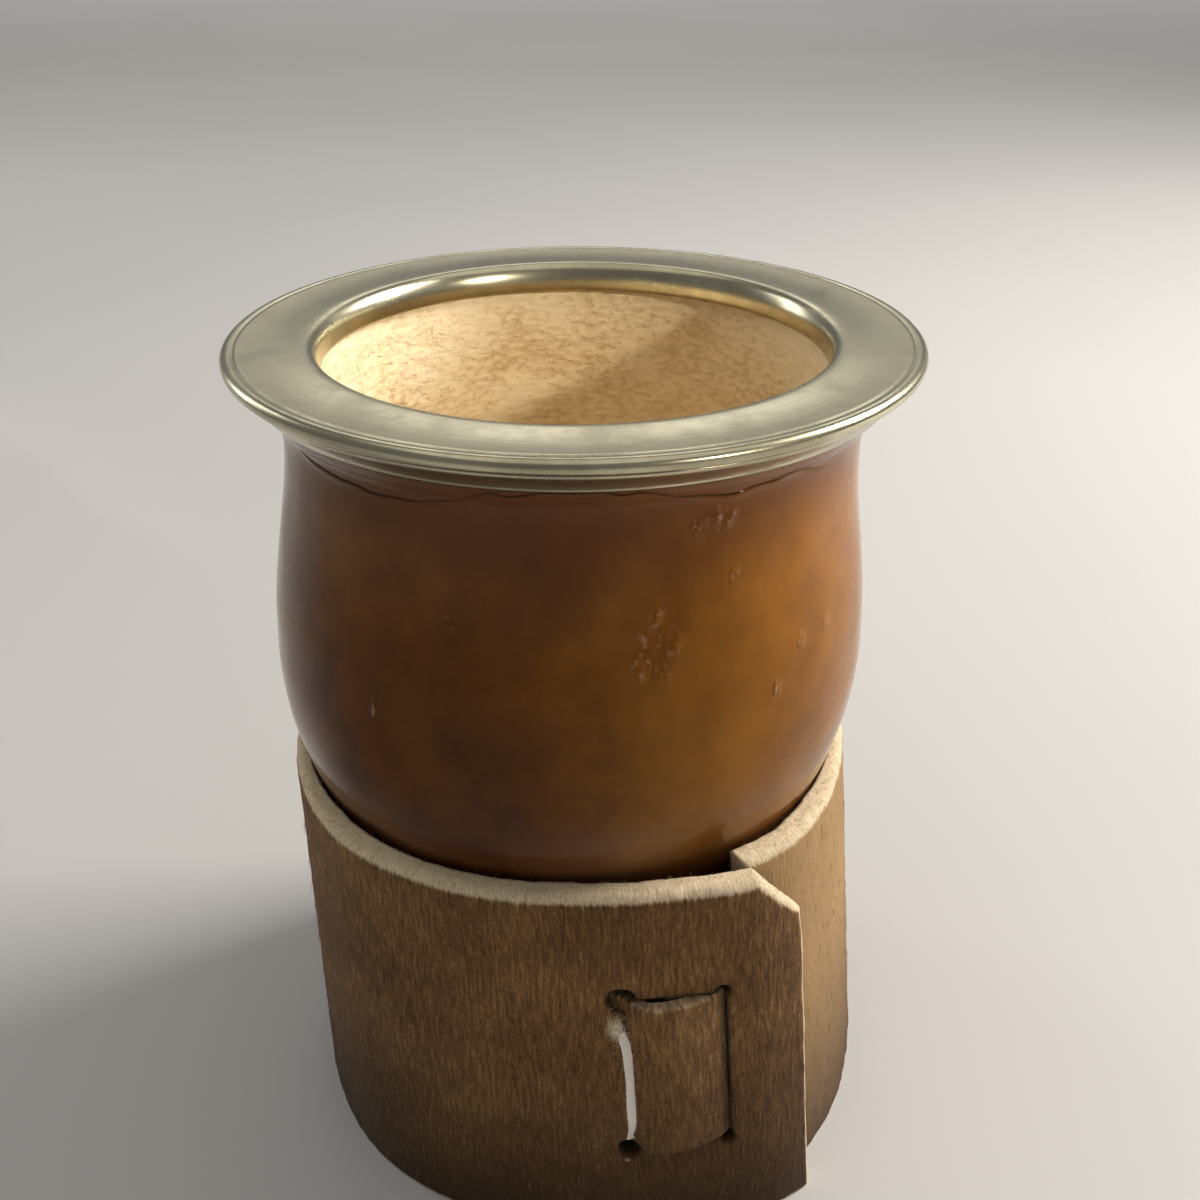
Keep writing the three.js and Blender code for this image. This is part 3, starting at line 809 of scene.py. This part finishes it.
def gourd_rows():
    """Radius and height of each ring of the gourd, from the bottom up outside and down again inside,
    and how many of them belong to the outside."""
    outside = curve_through(NECK_OUTSIDE, 40)
    heights = np.concatenate([
        np.arange(BELLY_HEIGHT, FINE_ROWS_FROM, ROW_STEP),
        np.arange(FINE_ROWS_FROM, outside[-1, 1], FINE_ROW_STEP),
    ])
    turn = np.radians(np.linspace(-90, 0, ROWS_BELOW + 2))[1:-1]
    below = np.column_stack(
        [BELLY_RADIUS * np.cos(turn), BELLY_HEIGHT + (BELLY_HEIGHT - GOURD_BOTTOM) * np.sin(turn)]
    )
    neck = np.column_stack([np.interp(heights, outside[:, 1], outside[:, 0]), heights])
    lip = [(LIP_RADIUS, outside[-1, 1]), (LIP_RADIUS, LIP_TOP - 0.5), (LIP_RADIUS - 0.5, LIP_TOP)]
    lip += [(LIP_INSIDE + 0.5, LIP_TOP), (LIP_INSIDE, LIP_TOP - 0.5)]
    inside = curve_through(NECK_INSIDE, 14)[:-1]
    hollow = BELLY_RADIUS - GOURD_WALL
    bottom = np.column_stack(
        [hollow * np.cos(turn), BELLY_HEIGHT + (BELLY_HEIGHT - GOURD_BOTTOM - GOURD_WALL) * np.sin(turn)]
    )[::-2]
    outer = len(below) + len(neck) + 3
    return np.vstack([below, neck, lip, inside, [(hollow, BELLY_HEIGHT)], bottom]), outer


def gourd_radius(height):
    """Outer radius of the gourd at a height under its belly."""
    share = np.clip((BELLY_HEIGHT - height) / (BELLY_HEIGHT - GOURD_BOTTOM), 0, 1)
    return BELLY_RADIUS * np.sqrt(1 - share**2)


def gourd_shape():
    """The gourd's vertices and faces, its crack and scuff attributes, and which faces are outside."""
    rows, outer = gourd_rows()
    around = GOURD_COLUMNS
    angle = np.linspace(0, 360, around, endpoint=False)
    radius = np.repeat(rows[:, :1], around, axis=1)
    height = np.repeat(rows[:, 1:], around, axis=1)
    is_outside = (np.arange(len(rows)) < outer)[:, None]

    crack_angles, crack_heights = curve_through(CRACK, 6).T
    crack_at = np.interp(angle, crack_angles, crack_heights) + 0.05 * np.sin(np.radians(angle * 41))
    left_end, right_end = CRACK[0][0], CRACK[-1][0]
    ends = window(angle, left_end, left_end + CRACK_FADE, right_end - CRACK_FADE, right_end)
    opened = 0.5 + 0.5 * np.sin(np.radians(angle * 7)) * np.sin(np.radians(angle * 3 + 40))
    width = CRACK_WIDTH * (0.6 + 0.5 * opened)
    gap = np.exp(-(((height - crack_at) / width) ** 2)) * ends * is_outside * (0.45 + 0.55 * opened)
    flake = np.exp(-(((height - crack_at + 0.55) / 0.5) ** 2)) * ends * is_outside
    radius = radius - CRACK_DEPTH * gap + 0.07 * flake

    scuffed = np.zeros_like(radius)
    for at, up, size, depth in SCUFFS:
        away = np.hypot((angle - at) * np.pi / 180 * BELLY_RADIUS, (height - up) * 0.7)
        spot = np.exp(-((away / size) ** 2)) * is_outside
        radius = radius - depth * spot
        scuffed = np.maximum(scuffed, spot)

    turn = np.radians(angle)
    up = np.clip((height - RING_HEIGHT) / (LIP_TOP - RING_HEIGHT), 0, 1)
    swell = OUT_OF_ROUND * np.sin(np.pi * np.minimum(1, up * 1.2))
    radius = radius * (1 - swell * np.sin(2 * turn) / BELLY_RADIUS)
    x = radius * np.cos(turn) - LEAN * (1 - up**2)
    y = radius * np.sin(turn)
    grid = np.stack([x, y, height], axis=-1).reshape(-1, 3)

    ring = np.arange(around)
    after = (ring + 1) % around
    start = np.arange(len(rows) - 1)[:, None] * around
    quads = np.stack([start + ring, start + after, start + around + after, start + around + ring], axis=-1)
    outside_pole, inside_pole = len(grid), len(grid) + 1
    poles = [(-LEAN, 0, GOURD_BOTTOM), (-LEAN, 0, GOURD_BOTTOM + GOURD_WALL)]
    last = (len(rows) - 1) * around
    faces = quads.reshape(-1, 4).tolist()
    faces += [(outside_pole, int(b), int(a)) for a, b in zip(ring, after)]
    faces += [(inside_pole, int(last + a), int(last + b)) for a, b in zip(ring, after)]
    outside_faces = np.concatenate([
        np.arange(quads.shape[0] * around) < (outer - 1) * around,
        np.ones(around, bool),
        np.zeros(around, bool),
    ])
    pads = np.zeros(2)
    crack = np.concatenate([gap.ravel(), pads])
    return np.vstack([grid, poles]), faces, crack, np.concatenate([scuffed.ravel(), pads]), outside_faces


class CUP_OT_gourd(Operator):
    """Makes the hollow varnished gourd with its crack and scuffs"""

    bl_idname = "cup.gourd"
    bl_label = "Gourd"

    def execute(self, context):
        settings = context.scene.cup_gourd
        vertices, faces, crack, scuff, outside = gourd_shape()
        materials = [varnished_calabash(settings), raw_calabash(settings)]
        mesh = make_mesh("gourd_shell", vertices, faces, materials)
        mesh.polygons.foreach_set("material_index", np.where(outside, 0, 1).astype(np.int32))
        set_attribute(mesh, "crack", crack)
        set_attribute(mesh, "scuff", scuff)
        piece = link_object("gourd_shell", mesh)
        values = {"Depth": settings.unevenness * 2, "Wave": GOURD_WAVE, "Seed": 3.0}
        piece.data = run_tree(piece, uneven_tree(), values)
        finish_piece(piece, "gourd")
        return {"FINISHED"}


# The collar


def collar_profile(settings):
    """The collar's closed section as points of (radius, height): tube, groove for the gourd's lip,
    flare, rolled bead, flat flange with a fine turned line in it, and rounded mouth."""
    bead, mouth, rounding = (v / MM for v in (settings.bead, settings.mouth, settings.mouth_rounding))
    groove_top = LIP_TOP + LIP_CLEARANCE
    groove_outer = LIP_RADIUS + LIP_CLEARANCE
    bead_at = (FLANGE_RADIUS - bead, CUP_HEIGHT - bead)
    lip = arc(0, 0, 1, 92, 180, 14)
    line_at = bead_at[0] - TURNED_LINE_FROM_BEAD
    turned_line = [(line_at + across, CUP_HEIGHT - down) for across, down in TURNED_LINE]
    radii = np.linspace(*FLANGE_RADII, 9)
    dish = DISH_DEPTH * np.sin(np.pi * (radii - DISH_START) / DISH_WIDTH)
    return np.vstack([
        [(TUBE_OUTER_RADIUS, TUBE_END + 0.2), (TUBE_OUTER_RADIUS, groove_top)],
        [(groove_outer, groove_top), (groove_outer, COLLAR_BOTTOM + 0.1), (43.5, COLLAR_BOTTOM)],
        curve_through(FLARE, 6),
        arc(*bead_at, bead, -140, 88, 22),
        turned_line,
        np.column_stack([radii, CUP_HEIGHT - dish]),
        lip * (rounding, MOUTH_DROP) + (mouth + rounding, CUP_HEIGHT - MOUTH_DROP),
        [(mouth, CUP_HEIGHT - MOUTH_DROP - 0.4), (mouth + 0.05, TUBE_END + 0.4)],
        [(mouth + 0.2, TUBE_END + 0.08), (mouth + 0.45, TUBE_END)],
    ])


class CUP_OT_collar(Operator):
    """Turns the nickel silver collar from its section"""

    bl_idname = "cup.collar"
    bl_label = "Collar"

    def execute(self, context):
        settings = context.scene.cup_collar
        turning_radius = settings.mouth
        section = bpy.data.curves.new("collar_section", "CURVE")
        section.dimensions = "2D"
        spline = section.splines.new("POLY")
        points = collar_profile(settings)
        spline.points.add(len(points) - 1)
        for point, (radius, height) in zip(spline.points, points):
            point.co = (radius * MM - turning_radius, -height * MM, 0, 1)
        spline.use_cyclic_u = True
        profile = link_object("collar_section", section)
        values = {"Radius": turning_radius, "Steps": COLLAR_STEPS, "Material": spun_nickel_silver(settings)}
        mesh = run_tree(profile, turning_tree(), values, "collar_metal")
        bpy.data.objects.remove(profile)
        piece = link_object("collar_metal", mesh)
        values = {"Depth": COLLAR_UNEVENNESS * 4 * MM, "Wave": COLLAR_WAVE, "Seed": 8.0}
        piece.data = run_tree(piece, bpy.data.node_groups["uneven_surface"], values)
        finish_piece(piece, "collar")
        return {"FINISHED"}


# The leather ring


def slot_bend(height):
    """How far the left edge of the left slot bends to the right at a height."""
    heights, bends = np.array(SLOT_BEND).T
    return np.interp(height, heights, bends)


def left_slot_outline():
    """Outline of the left slot with a round hole at both ends, on the flat hide."""
    left, right, hole = (np.radians(a) * FLAT_RADIUS for a in (*SLOT_LEFT, HOLE_LEFT_ANGLE))
    bottom, top = SLOT_HEIGHTS
    opening_low, opening_high = np.degrees(np.arccos((left - hole) / np.array(HOLE_LEFT_RADII)))
    top_arc = arc(hole, top, HOLE_LEFT_RADII[1], 0, 352 - opening_high, 22)
    bottom_arc = arc(hole, bottom, HOLE_LEFT_RADII[0], opening_low, 360, 18)
    heights = np.linspace(top_arc[-1, 1] - 0.8, bottom_arc[0, 1] + 0.6, 12)
    torn_side = np.column_stack([left + slot_bend(heights), heights])
    return np.vstack([[(right, bottom), (right, top)], top_arc, torn_side, bottom_arc])


def right_slot_outline():
    """Outline of the right slot with a small round hole at both ends, on the flat hide."""
    left, right, hole = (np.radians(a) * FLAT_RADIUS for a in (*SLOT_RIGHT, HOLE_RIGHT_ANGLE))
    bottom, top = SLOT_HEIGHTS
    opening = np.degrees(np.arccos((right - hole) / HOLE_RIGHT_RADIUS))
    return np.vstack([
        arc(hole, top, HOLE_RIGHT_RADIUS, -opening, 180, 14),
        [(left, top), (left, bottom)],
        arc(hole, bottom, HOLE_RIGHT_RADIUS, 180, 360 + opening, 14),
    ])


def refined(outline, spacing):
    """A closed outline with points no further apart than the spacing."""
    parts = []
    for a, b in zip(outline, np.roll(outline, -1, axis=0)):
        steps = max(1, int(np.ceil(np.linalg.norm(b - a) / spacing)))
        parts.append(a + (b - a) * np.arange(steps)[:, None] / steps)
    return np.vstack(parts)


def distance_to(points, outlines):
    """Distance of each point to the nearest of the closed outlines."""
    start = np.vstack(outlines)
    along = np.vstack([np.roll(o, -1, axis=0) - o for o in outlines])
    squares = np.maximum((along**2).sum(1), 1e-12)
    nearest = np.empty(len(points))
    for i in range(0, len(points), 1500):
        offset = points[i : i + 1500, None] - start
        share = np.clip((offset * along).sum(2) / squares, 0, 1)
        nearest[i : i + 1500] = np.sqrt(((offset - share[..., None] * along) ** 2).sum(2).min(1))
    return nearest


def inside(points, outline):
    """Which points lie inside a closed outline."""
    a, b = outline, np.roll(outline, -1, axis=0)
    found = np.zeros(len(points), bool)
    for (ax, ay), (bx, by) in zip(a, b):
        if ay != by:
            crosses = (points[:, 1] < ay) != (points[:, 1] < by)
            found ^= crosses & (points[:, 0] < ax + (points[:, 1] - ay) * (bx - ax) / (by - ay))
    return found


def flat_hide(outline, holes, spacing):
    """A flat hide cut to an outline with holes, as points, triangles and each point's distance to the
    nearest cut. Rings of points follow the cuts, so that their edges can be rounded."""
    cuts = [refined(o, CUT_SPACING) for o in (outline, *holes)]
    low, high = outline.min(0), outline.max(0)
    row_height = spacing * np.sqrt(3) / 2
    along, up = np.meshgrid(
        np.arange(low[0] + 0.7, high[0] - 0.6, spacing), np.arange(low[1] + 0.7, high[1] - 0.6, row_height)
    )
    along[1::2] += spacing / 2
    grid = np.column_stack([along.ravel(), up.ravel()])
    grid = grid[grid[:, 0] < high[0] - 0.6]
    grid += np.random.default_rng(5).uniform(-0.12, 0.12, grid.shape) * spacing
    fill = [grid[distance_to(grid, cuts) > GRID_CLEARANCE]]
    for cut in cuts:
        along = np.roll(cut, -1, axis=0) - np.roll(cut, 1, axis=0)
        lengths = np.maximum(np.linalg.norm(along, axis=1), 1e-9)
        across = np.column_stack([-along[:, 1], along[:, 0]]) / lengths[:, None]
        for away in RINGS:
            for side in (1, -1):
                ring = cut + across * away * side
                fill.append(ring[distance_to(ring, cuts) > away * 0.93])
    fill = np.vstack(fill)
    keep = inside(fill, cuts[0])
    for hole in cuts[1:]:
        keep &= ~inside(fill, hole)
    fill = fill[keep]

    edges, count = [], 0
    for cut in cuts:
        index = np.arange(len(cut)) + count
        edges += list(zip(index.tolist(), np.roll(index, -1).tolist()))
        count += len(cut)
    given = [Vector(p) for p in np.vstack([*cuts, fill])]
    points, _, triangles, *_ = delaunay_2d_cdt(given, edges, [], 0, 1e-5)
    points, triangles = np.array([tuple(p) for p in points]), np.array(triangles)
    middle = points[triangles].mean(1)
    keep = inside(middle, cuts[0])
    for hole in cuts[1:]:
        keep &= ~inside(middle, hole)
    return points, triangles[keep], distance_to(points, cuts)


def bend(flat, depth, radius_at):
    """Bends flat hide points into the ring: depth is how far each lies under the strip's outer face."""
    angle, height = np.degrees(flat[:, 0] / FLAT_RADIUS), flat[:, 1]
    share = (height / RING_HEIGHT)[:, None]
    centre = RING_CENTRE_BOTTOM + (RING_CENTRE_TOP - RING_CENTRE_BOTTOM) * share

    def point(a):
        turn = np.radians(a)
        radius = radius_at(a, height) - RING_FLARE * (share[:, 0] - 0.5)
        return centre + radius[:, None] * np.column_stack([np.cos(turn), np.sin(turn)])

    along = point(angle + 0.2) - point(angle - 0.2)
    along /= np.linalg.norm(along, axis=1)[:, None]
    inward = np.column_stack([-along[:, 1], along[:, 0]])
    return np.column_stack([point(angle) + inward * depth[:, None], height])


def torn_edge(flat):
    """How far each flat point lies inside the torn edge left of the left slot: 1 at the slot."""
    away = np.radians(SLOT_LEFT[0]) * FLAT_RADIUS + slot_bend(flat[:, 1]) - flat[:, 0]
    within = window(flat[:, 1], *TORN_HEIGHTS)
    low, high = TORN_HEIGHTS[0], TORN_HEIGHTS[-1]
    middle = np.sin(np.pi * np.clip((flat[:, 1] - low) / (high - low), 0, 1))
    width = TORN_WIDTH[0] + (TORN_WIDTH[1] - TORN_WIDTH[0]) * middle
    return np.where(away > -0.2, np.clip(1 - away / width, 0, 1), 0) * within


def tuft(flat, place):
    """How near each flat point is to a frayed tuft at a punched hole: 1 in its middle."""
    angle, height, half_width, half_height = place
    along = (flat[:, 0] - np.radians(angle) * FLAT_RADIUS) / half_width
    return np.exp(-(along**2) - ((flat[:, 1] - height) / half_height) ** 2)


def thick_hide(cut_hide, thickness, rounding, radius_at, is_strip):
    """A closed piece of hide with rounded edges from a flat cut one. Returns its vertices, faces and flat
    places, how pale and torn each vertex is from a cut, how much painted shade it takes at the slots, and
    which lie on the outer face."""
    flat, triangles, near = cut_hide
    rounding = rounding * (1 + 1.3 * smooth(flat[:, 1], *TOP_ROUNDING) * is_strip)
    drop = rounding - np.sqrt(np.maximum(rounding**2 - np.maximum(rounding - near, 0) ** 2, 0))
    torn, tufts = np.zeros(len(flat)), np.zeros(len(flat))
    thick = np.full(len(flat), thickness)
    if is_strip:
        angle = np.degrees(flat[:, 0] / FLAT_RADIUS)
        bevel = torn_edge(flat)
        tufts = np.maximum(tuft(flat, TUFT), 0.6 * tuft(flat, LOW_TUFT))
        torn = np.maximum(np.minimum(bevel * 5, 1), 0.5 * tufts)
        pared_left = PARED_LEFT[2] * smooth(angle, *PARED_LEFT[:2]) * (angle < SLOT_LEFT[1])
        pared_right = PARED_RIGHT[2] * (1 - smooth(angle, PARED_RIGHT[1], PARED_RIGHT[0]))
        pared_right = pared_right * (angle > SLOT_RIGHT[1] - 1)
        thick -= (pared_left + pared_right) * window(flat[:, 1], *PARED_HEIGHTS)
        deepest = thick * 0.45 + TORN_DEPTH * bevel * 0.5
        drop = np.minimum(np.maximum(drop * (bevel == 0), TORN_DEPTH * bevel), deepest)
    outer = bend(flat, drop, radius_at)
    inner = bend(flat, np.maximum(thick - np.minimum(drop, 0.2), drop + 0.2), radius_at)
    if is_strip:
        # The strip's inner face is pressed thinner where the gourd leans against it.
        away = np.linalg.norm(inner[:, :2] + (LEAN, 0), axis=1)
        push = np.maximum(1, (gourd_radius(flat[:, 1]) + GOURD_GAP + OUT_OF_ROUND) / away)
        inner[:, :2] = (inner[:, :2] + (LEAN, 0)) * push[:, None] - (LEAN, 0)

    sides = np.vstack([triangles[:, [0, 1]], triangles[:, [1, 2]], triangles[:, [2, 0]]])
    ordered = np.sort(sides, axis=1)
    _, first, uses = np.unique(ordered, axis=0, return_index=True, return_counts=True)
    border = sides[first[uses == 1]]
    rim = np.unique(border)
    number = np.full(len(flat), -1)
    number[rim] = np.arange(len(rim))
    walls = [outer[rim] + (inner[rim] - outer[rim]) * share for share in WALL_ROWS]
    rng = np.random.default_rng(11)
    walls = [wall + rng.normal(0, WALL_ROUGHNESS, wall.shape) for wall in walls]

    count, rows = len(flat), len(WALL_ROWS)
    walls_at = [2 * count + row * len(rim) + number[border] for row in range(rows)]
    layers = [border, *walls_at, count + border]
    faces = triangles.tolist() + (triangles[:, ::-1] + count).tolist()
    for upper, lower in zip(layers[:-1], layers[1:]):
        faces += np.column_stack([upper[:, ::-1], lower]).tolist()
    vertices = np.vstack([outer, inner, *walls])
    flats = np.vstack([flat, flat, *[flat[rim] + (0, share * thickness) for share in WALL_ROWS]])

    # Painted shade: the cut edges at the slots and the tongue's edges lose their pale cut colour and are
    # painted dark, as they lie in shade. The top edge is pale furthest down.
    if is_strip:
        slot_side = window(flat[:, 0], *(np.radians(DARK_EDGES) * FLAT_RADIUS)) * (flat[:, 1] < TOP_EDGE[0])
    else:
        slot_side = np.where(flat[:, 1] > LIFT_HEIGHTS[0], *TONGUE_EDGES_DARK)
    reach = 0.8 + 1.5 * smooth(flat[:, 1], *TOP_EDGE)
    pale = np.maximum((1 - smooth(near, 0, reach)) * (1 - 0.85 * slot_side), 0.85 * tufts)
    slot_shaded = slot_side * (near < 0.15) * 0.6 * (1 - tufts)
    cut = np.concatenate([pale, pale, np.tile(1 - 0.75 * slot_side[rim], rows)])
    torn = np.concatenate([torn, torn * 0, np.tile(torn[rim], rows)])
    grime = np.concatenate([slot_shaded, slot_shaded * 0, np.tile(slot_side[rim], rows)])
    outside = np.concatenate([np.ones(count), np.zeros(count + len(rim) * rows)])
    return vertices, faces, flats, cut, torn, grime, outside


def strip_surface():
    """The strip's outer radius at an angle and height, lifted at the left slot by the tongue under it
    and pressed in between the slots."""
    radius = path_reader(STRIP_PATH)
    bottom, top = SLOT_HEIGHTS
    left_press, right_press = BRIDGE_DEPTH
    left_middle, right_middle = sum(SLOT_LEFT) / 2, sum(SLOT_RIGHT) / 2

    def surface(angle, height):
        lift = LIFTED_EDGE * np.clip((angle - LIFT_START) / (SLOT_LEFT[0] - LIFT_START), 0, 1) ** 2
        lift = lift * window(height, bottom, *LIFT_HEIGHTS, top)
        press = left_press + (right_press - left_press) * smooth(angle, SLOT_LEFT[1], SLOT_RIGHT[0])
        press = press * window(height, bottom, *BRIDGE_HEIGHTS, top)
        bridge = (angle > left_middle) & (angle < right_middle)
        return radius(angle) + np.where(angle < left_middle, lift, 0) - np.where(bridge, press, 0)

    return surface


def tongue_surface():
    """The tongue's outer radius at an angle and height."""
    radius = path_reader(TONGUE_PATH)
    bottom, top = SLOT_HEIGHTS

    def surface(angle, height):
        lift = TONGUE_LIFT * window(height, bottom, *LIFT_HEIGHTS, top)
        return radius(angle) + lift * (1 - smooth(angle, *TONGUE_LIFT_ENDS))

    return surface


def leather_shape(rounding):
    """The wide strip and its tongue as one mesh, with each vertex's flat place and marks."""
    start, end = (np.radians(STRIP_PATH[i][0]) * FLAT_RADIUS for i in (0, -1))
    outline = np.array([
        (start, 0), (end, 0), (end, RING_HEIGHT - CORNER_CUT[1]), (end - CORNER_CUT[0], RING_HEIGHT),
        (start, RING_HEIGHT),
    ])
    slots = [left_slot_outline(), right_slot_outline()]
    strip = thick_hide(flat_hide(outline, slots, STRIP_SPACING), LEATHER, rounding, strip_surface(), True)
    start, end = (np.radians(TONGUE_PATH[i][0]) * FLAT_RADIUS for i in (0, -1))
    low, high = TONGUE_HEIGHTS
    outline = np.array([(start, low), (end, low), (end, high), (start, high)])
    cut = flat_hide(outline, [], TONGUE_SPACING)
    tongue = thick_hide(cut, TONGUE_THICKNESS, rounding * 0.5, tongue_surface(), False)
    shift = len(strip[0])
    faces = strip[1] + [[v + shift for v in face] for face in tongue[1]]
    vertices = np.vstack([strip[0], tongue[0]])
    marks = {
        name: np.concatenate([strip[i], tongue[i]])
        for i, name in enumerate(("flats", "cut", "torn", "grime", "outside"), start=2)
    }
    return vertices, faces, marks


class CUP_OT_leather_ring(Operator):
    """Cuts the hide strip flat, bends it round and closes it with its tongue"""

    bl_idname = "cup.leather_ring"
    bl_label = "Leather ring"

    def execute(self, context):
        settings = context.scene.cup_leather
        vertices, faces, marks = leather_shape(settings.rounding / MM)
        flats, cut, torn, grime, outside = marks.values()
        mesh = make_mesh("leather_strip", vertices, faces, [rough_hide(settings)])
        corners = np.empty(len(mesh.loops), np.int32)
        mesh.loops.foreach_get("vertex_index", corners)
        hide = mesh.uv_layers.new(name="hide")
        hide.data.foreach_set("uv", (flats[corners] * MM).astype(np.float32).ravel())
        # Painted shade for the slot edges is stored with the cut and torn marks.
        for name, values in (("cut", cut), ("torn", torn), ("grime", grime)):
            set_attribute(mesh, name, values)
        above_foot = flats[:, 1] > NAP_FOOT
        set_attribute(mesh, "nap", outside * (cut < 0.3) * (torn < 0.1) * above_foot)
        frayed = 0.15 + 0.85 * smooth(flats[:, 1], *TOP_FRAY)
        set_attribute(mesh, "fray", (cut > 0.7) * above_foot * frayed)
        set_attribute(mesh, "tuft", tuft(flats, TUFT) * (torn > 0) + 0.12 * (torn > 0.9))
        piece = link_object("leather_strip", mesh)
        values = {"Depth": HIDE_UNEVENNESS, "Wave": HIDE_WAVE, "Seed": 1.0}
        piece.data = run_tree(piece, bpy.data.node_groups["uneven_surface"], values)
        finish_piece(piece, "leather_ring")
        return {"FINISHED"}


class CUP_OT_nap(Operator):
    """Raises the nap on the rough side and frays the cut edges"""

    bl_idname = "cup.nap"
    bl_label = "Nap and frayed edges"

    def execute(self, context):
        settings = context.scene.cup_leather
        source = bpy.data.objects["leather_strip"]
        tree = fibre_tree()
        jobs = {
            "nap_fibres": {
                "Where": "nap", "Per square metre": settings.nap_count * 10000.0, "Length": settings.nap,
                "Thickness": 0.00004, "Direction": (0, 0, -1), "Lift": 0.015, "Spread": 0.15, "Seed": 2,
                "Material": loose_fibre("brown_hide_fibres", "6e5335", "a98a60"),
            },
            "frayed_edge_fibres": {
                "Where": "fray", "Per square metre": 1500000.0, "Length": 0.0008,
                "Thickness": 0.00004, "Direction": (0, 0, 0), "Lift": 0.8, "Spread": 0.8, "Seed": 4,
                "Material": loose_fibre("pale_hide_fibres", "a58f69", "cdb991"),
            },
            "torn_slot_fibres": {
                "Where": "tuft", "Per square metre": 16000000.0, "Length": 0.0008,
                "Thickness": 0.000035, "Direction": (0.8, 0, 0.3), "Lift": 0.5, "Spread": 0.6, "Seed": 6,
                "Material": loose_fibre("white_hide_fibres", "e0c8ae", "f6eee4"),
            },
        }
        for name, values in jobs.items():
            mesh = run_tree(source, tree, values, name)
            if not mesh.polygons:
                raise RuntimeError(f"{name} came out empty")
            finish_piece(link_object(name, mesh), None)
        return {"FINISHED"}


# The stage


def add_light(name, kind, place, aim, tint, settings):
    """A light of a kind at a place, turned to what it lights."""
    lamp = bpy.data.lights.new(name, kind)
    if kind == "AREA":
        lamp.shape = "RECTANGLE"
    for setting, value in settings.items():
        setattr(lamp, setting, value)
    lamp.color = linear(tint)
    light = link_object(name, lamp)
    light.location = place
    light.rotation_mode = "QUATERNION"
    light.rotation_quaternion = (Vector(aim) - Vector(place)).to_track_quat("-Z", "Y")


class CUP_OT_stage(Operator):
    """Sets up the pale floor, the studio lights and the camera"""

    bl_idname = "cup.stage"
    bl_label = "Stage"

    def execute(self, context):
        half = FLOOR_HALF
        corners = [(-half, -half, 0), (half, -half, 0), (half, half, 0), (-half, half, 0)]
        floor = link_object("floor", make_mesh("floor", corners, [(0, 1, 2, 3)], [floor_paint()]))

        world = bpy.data.worlds.new("studio")
        world.use_nodes = True
        background = next(n for n in world.node_tree.nodes if n.type == "BACKGROUND")
        background.inputs["Color"].default_value = opaque("f1f2f4")
        background.inputs["Strength"].default_value = WORLD_STRENGTH
        context.scene.world = world

        for name, light in LIGHTS.items():
            add_light(name, *light)

        lens = bpy.data.cameras.new("camera")
        lens.sensor_width = SENSOR
        lens.lens = FOCAL_LENGTH
        lens.clip_start = 0.01
        camera = link_object("camera", lens)
        camera.location = Vector(CAMERA_PLACE) * MM
        camera.rotation_euler = (np.radians(90 - CAMERA_DOWN), 0, 0)
        context.scene.camera = camera
        context.scene.view_settings.view_transform = "Standard"
        return {"FINISHED"}


class CUP_PT_sidebar(Panel):
    """Lists the steps that build the cup, with their settings"""

    bl_idname = "CUP_PT_sidebar"
    bl_label = "Mate gourd cup"
    bl_space_type = "VIEW_3D"
    bl_region_type = "UI"
    bl_category = "Mate cup"

    def draw(self, context):
        for group, operators in STEPS:
            box = self.layout.box()
            if group:
                settings = getattr(context.scene, group)
                for name in type(settings).__annotations__:
                    box.prop(settings, name)
            for operator in operators:
                box.operator(operator.bl_idname)


STEPS = [
    ("cup_gourd", [CUP_OT_gourd]),
    ("cup_collar", [CUP_OT_collar]),
    ("cup_leather", [CUP_OT_leather_ring, CUP_OT_nap]),
    (None, [CUP_OT_stage]),
]
GROUPS = {"cup_gourd": CUP_PG_gourd, "cup_collar": CUP_PG_collar, "cup_leather": CUP_PG_leather}
CLASSES = [*GROUPS.values(), *[o for _, operators in STEPS for o in operators], CUP_PT_sidebar]


def register():
    """Registers the classes and puts the settings on the scene."""
    for cls in CLASSES:
        bpy.utils.register_class(cls)
    for name, group in GROUPS.items():
        setattr(bpy.types.Scene, name, PointerProperty(type=group))


def unregister():
    """Takes the settings and the classes away again."""
    for name in GROUPS:
        delattr(bpy.types.Scene, name)
    for cls in reversed(CLASSES):
        bpy.utils.unregister_class(cls)


def main():
    """Builds every piece in order."""
    register()
    for _, operators in STEPS:
        for operator in operators:
            getattr(bpy.ops.cup, operator.bl_idname.split(".")[1])()


if __name__ == "__main__":
    main()
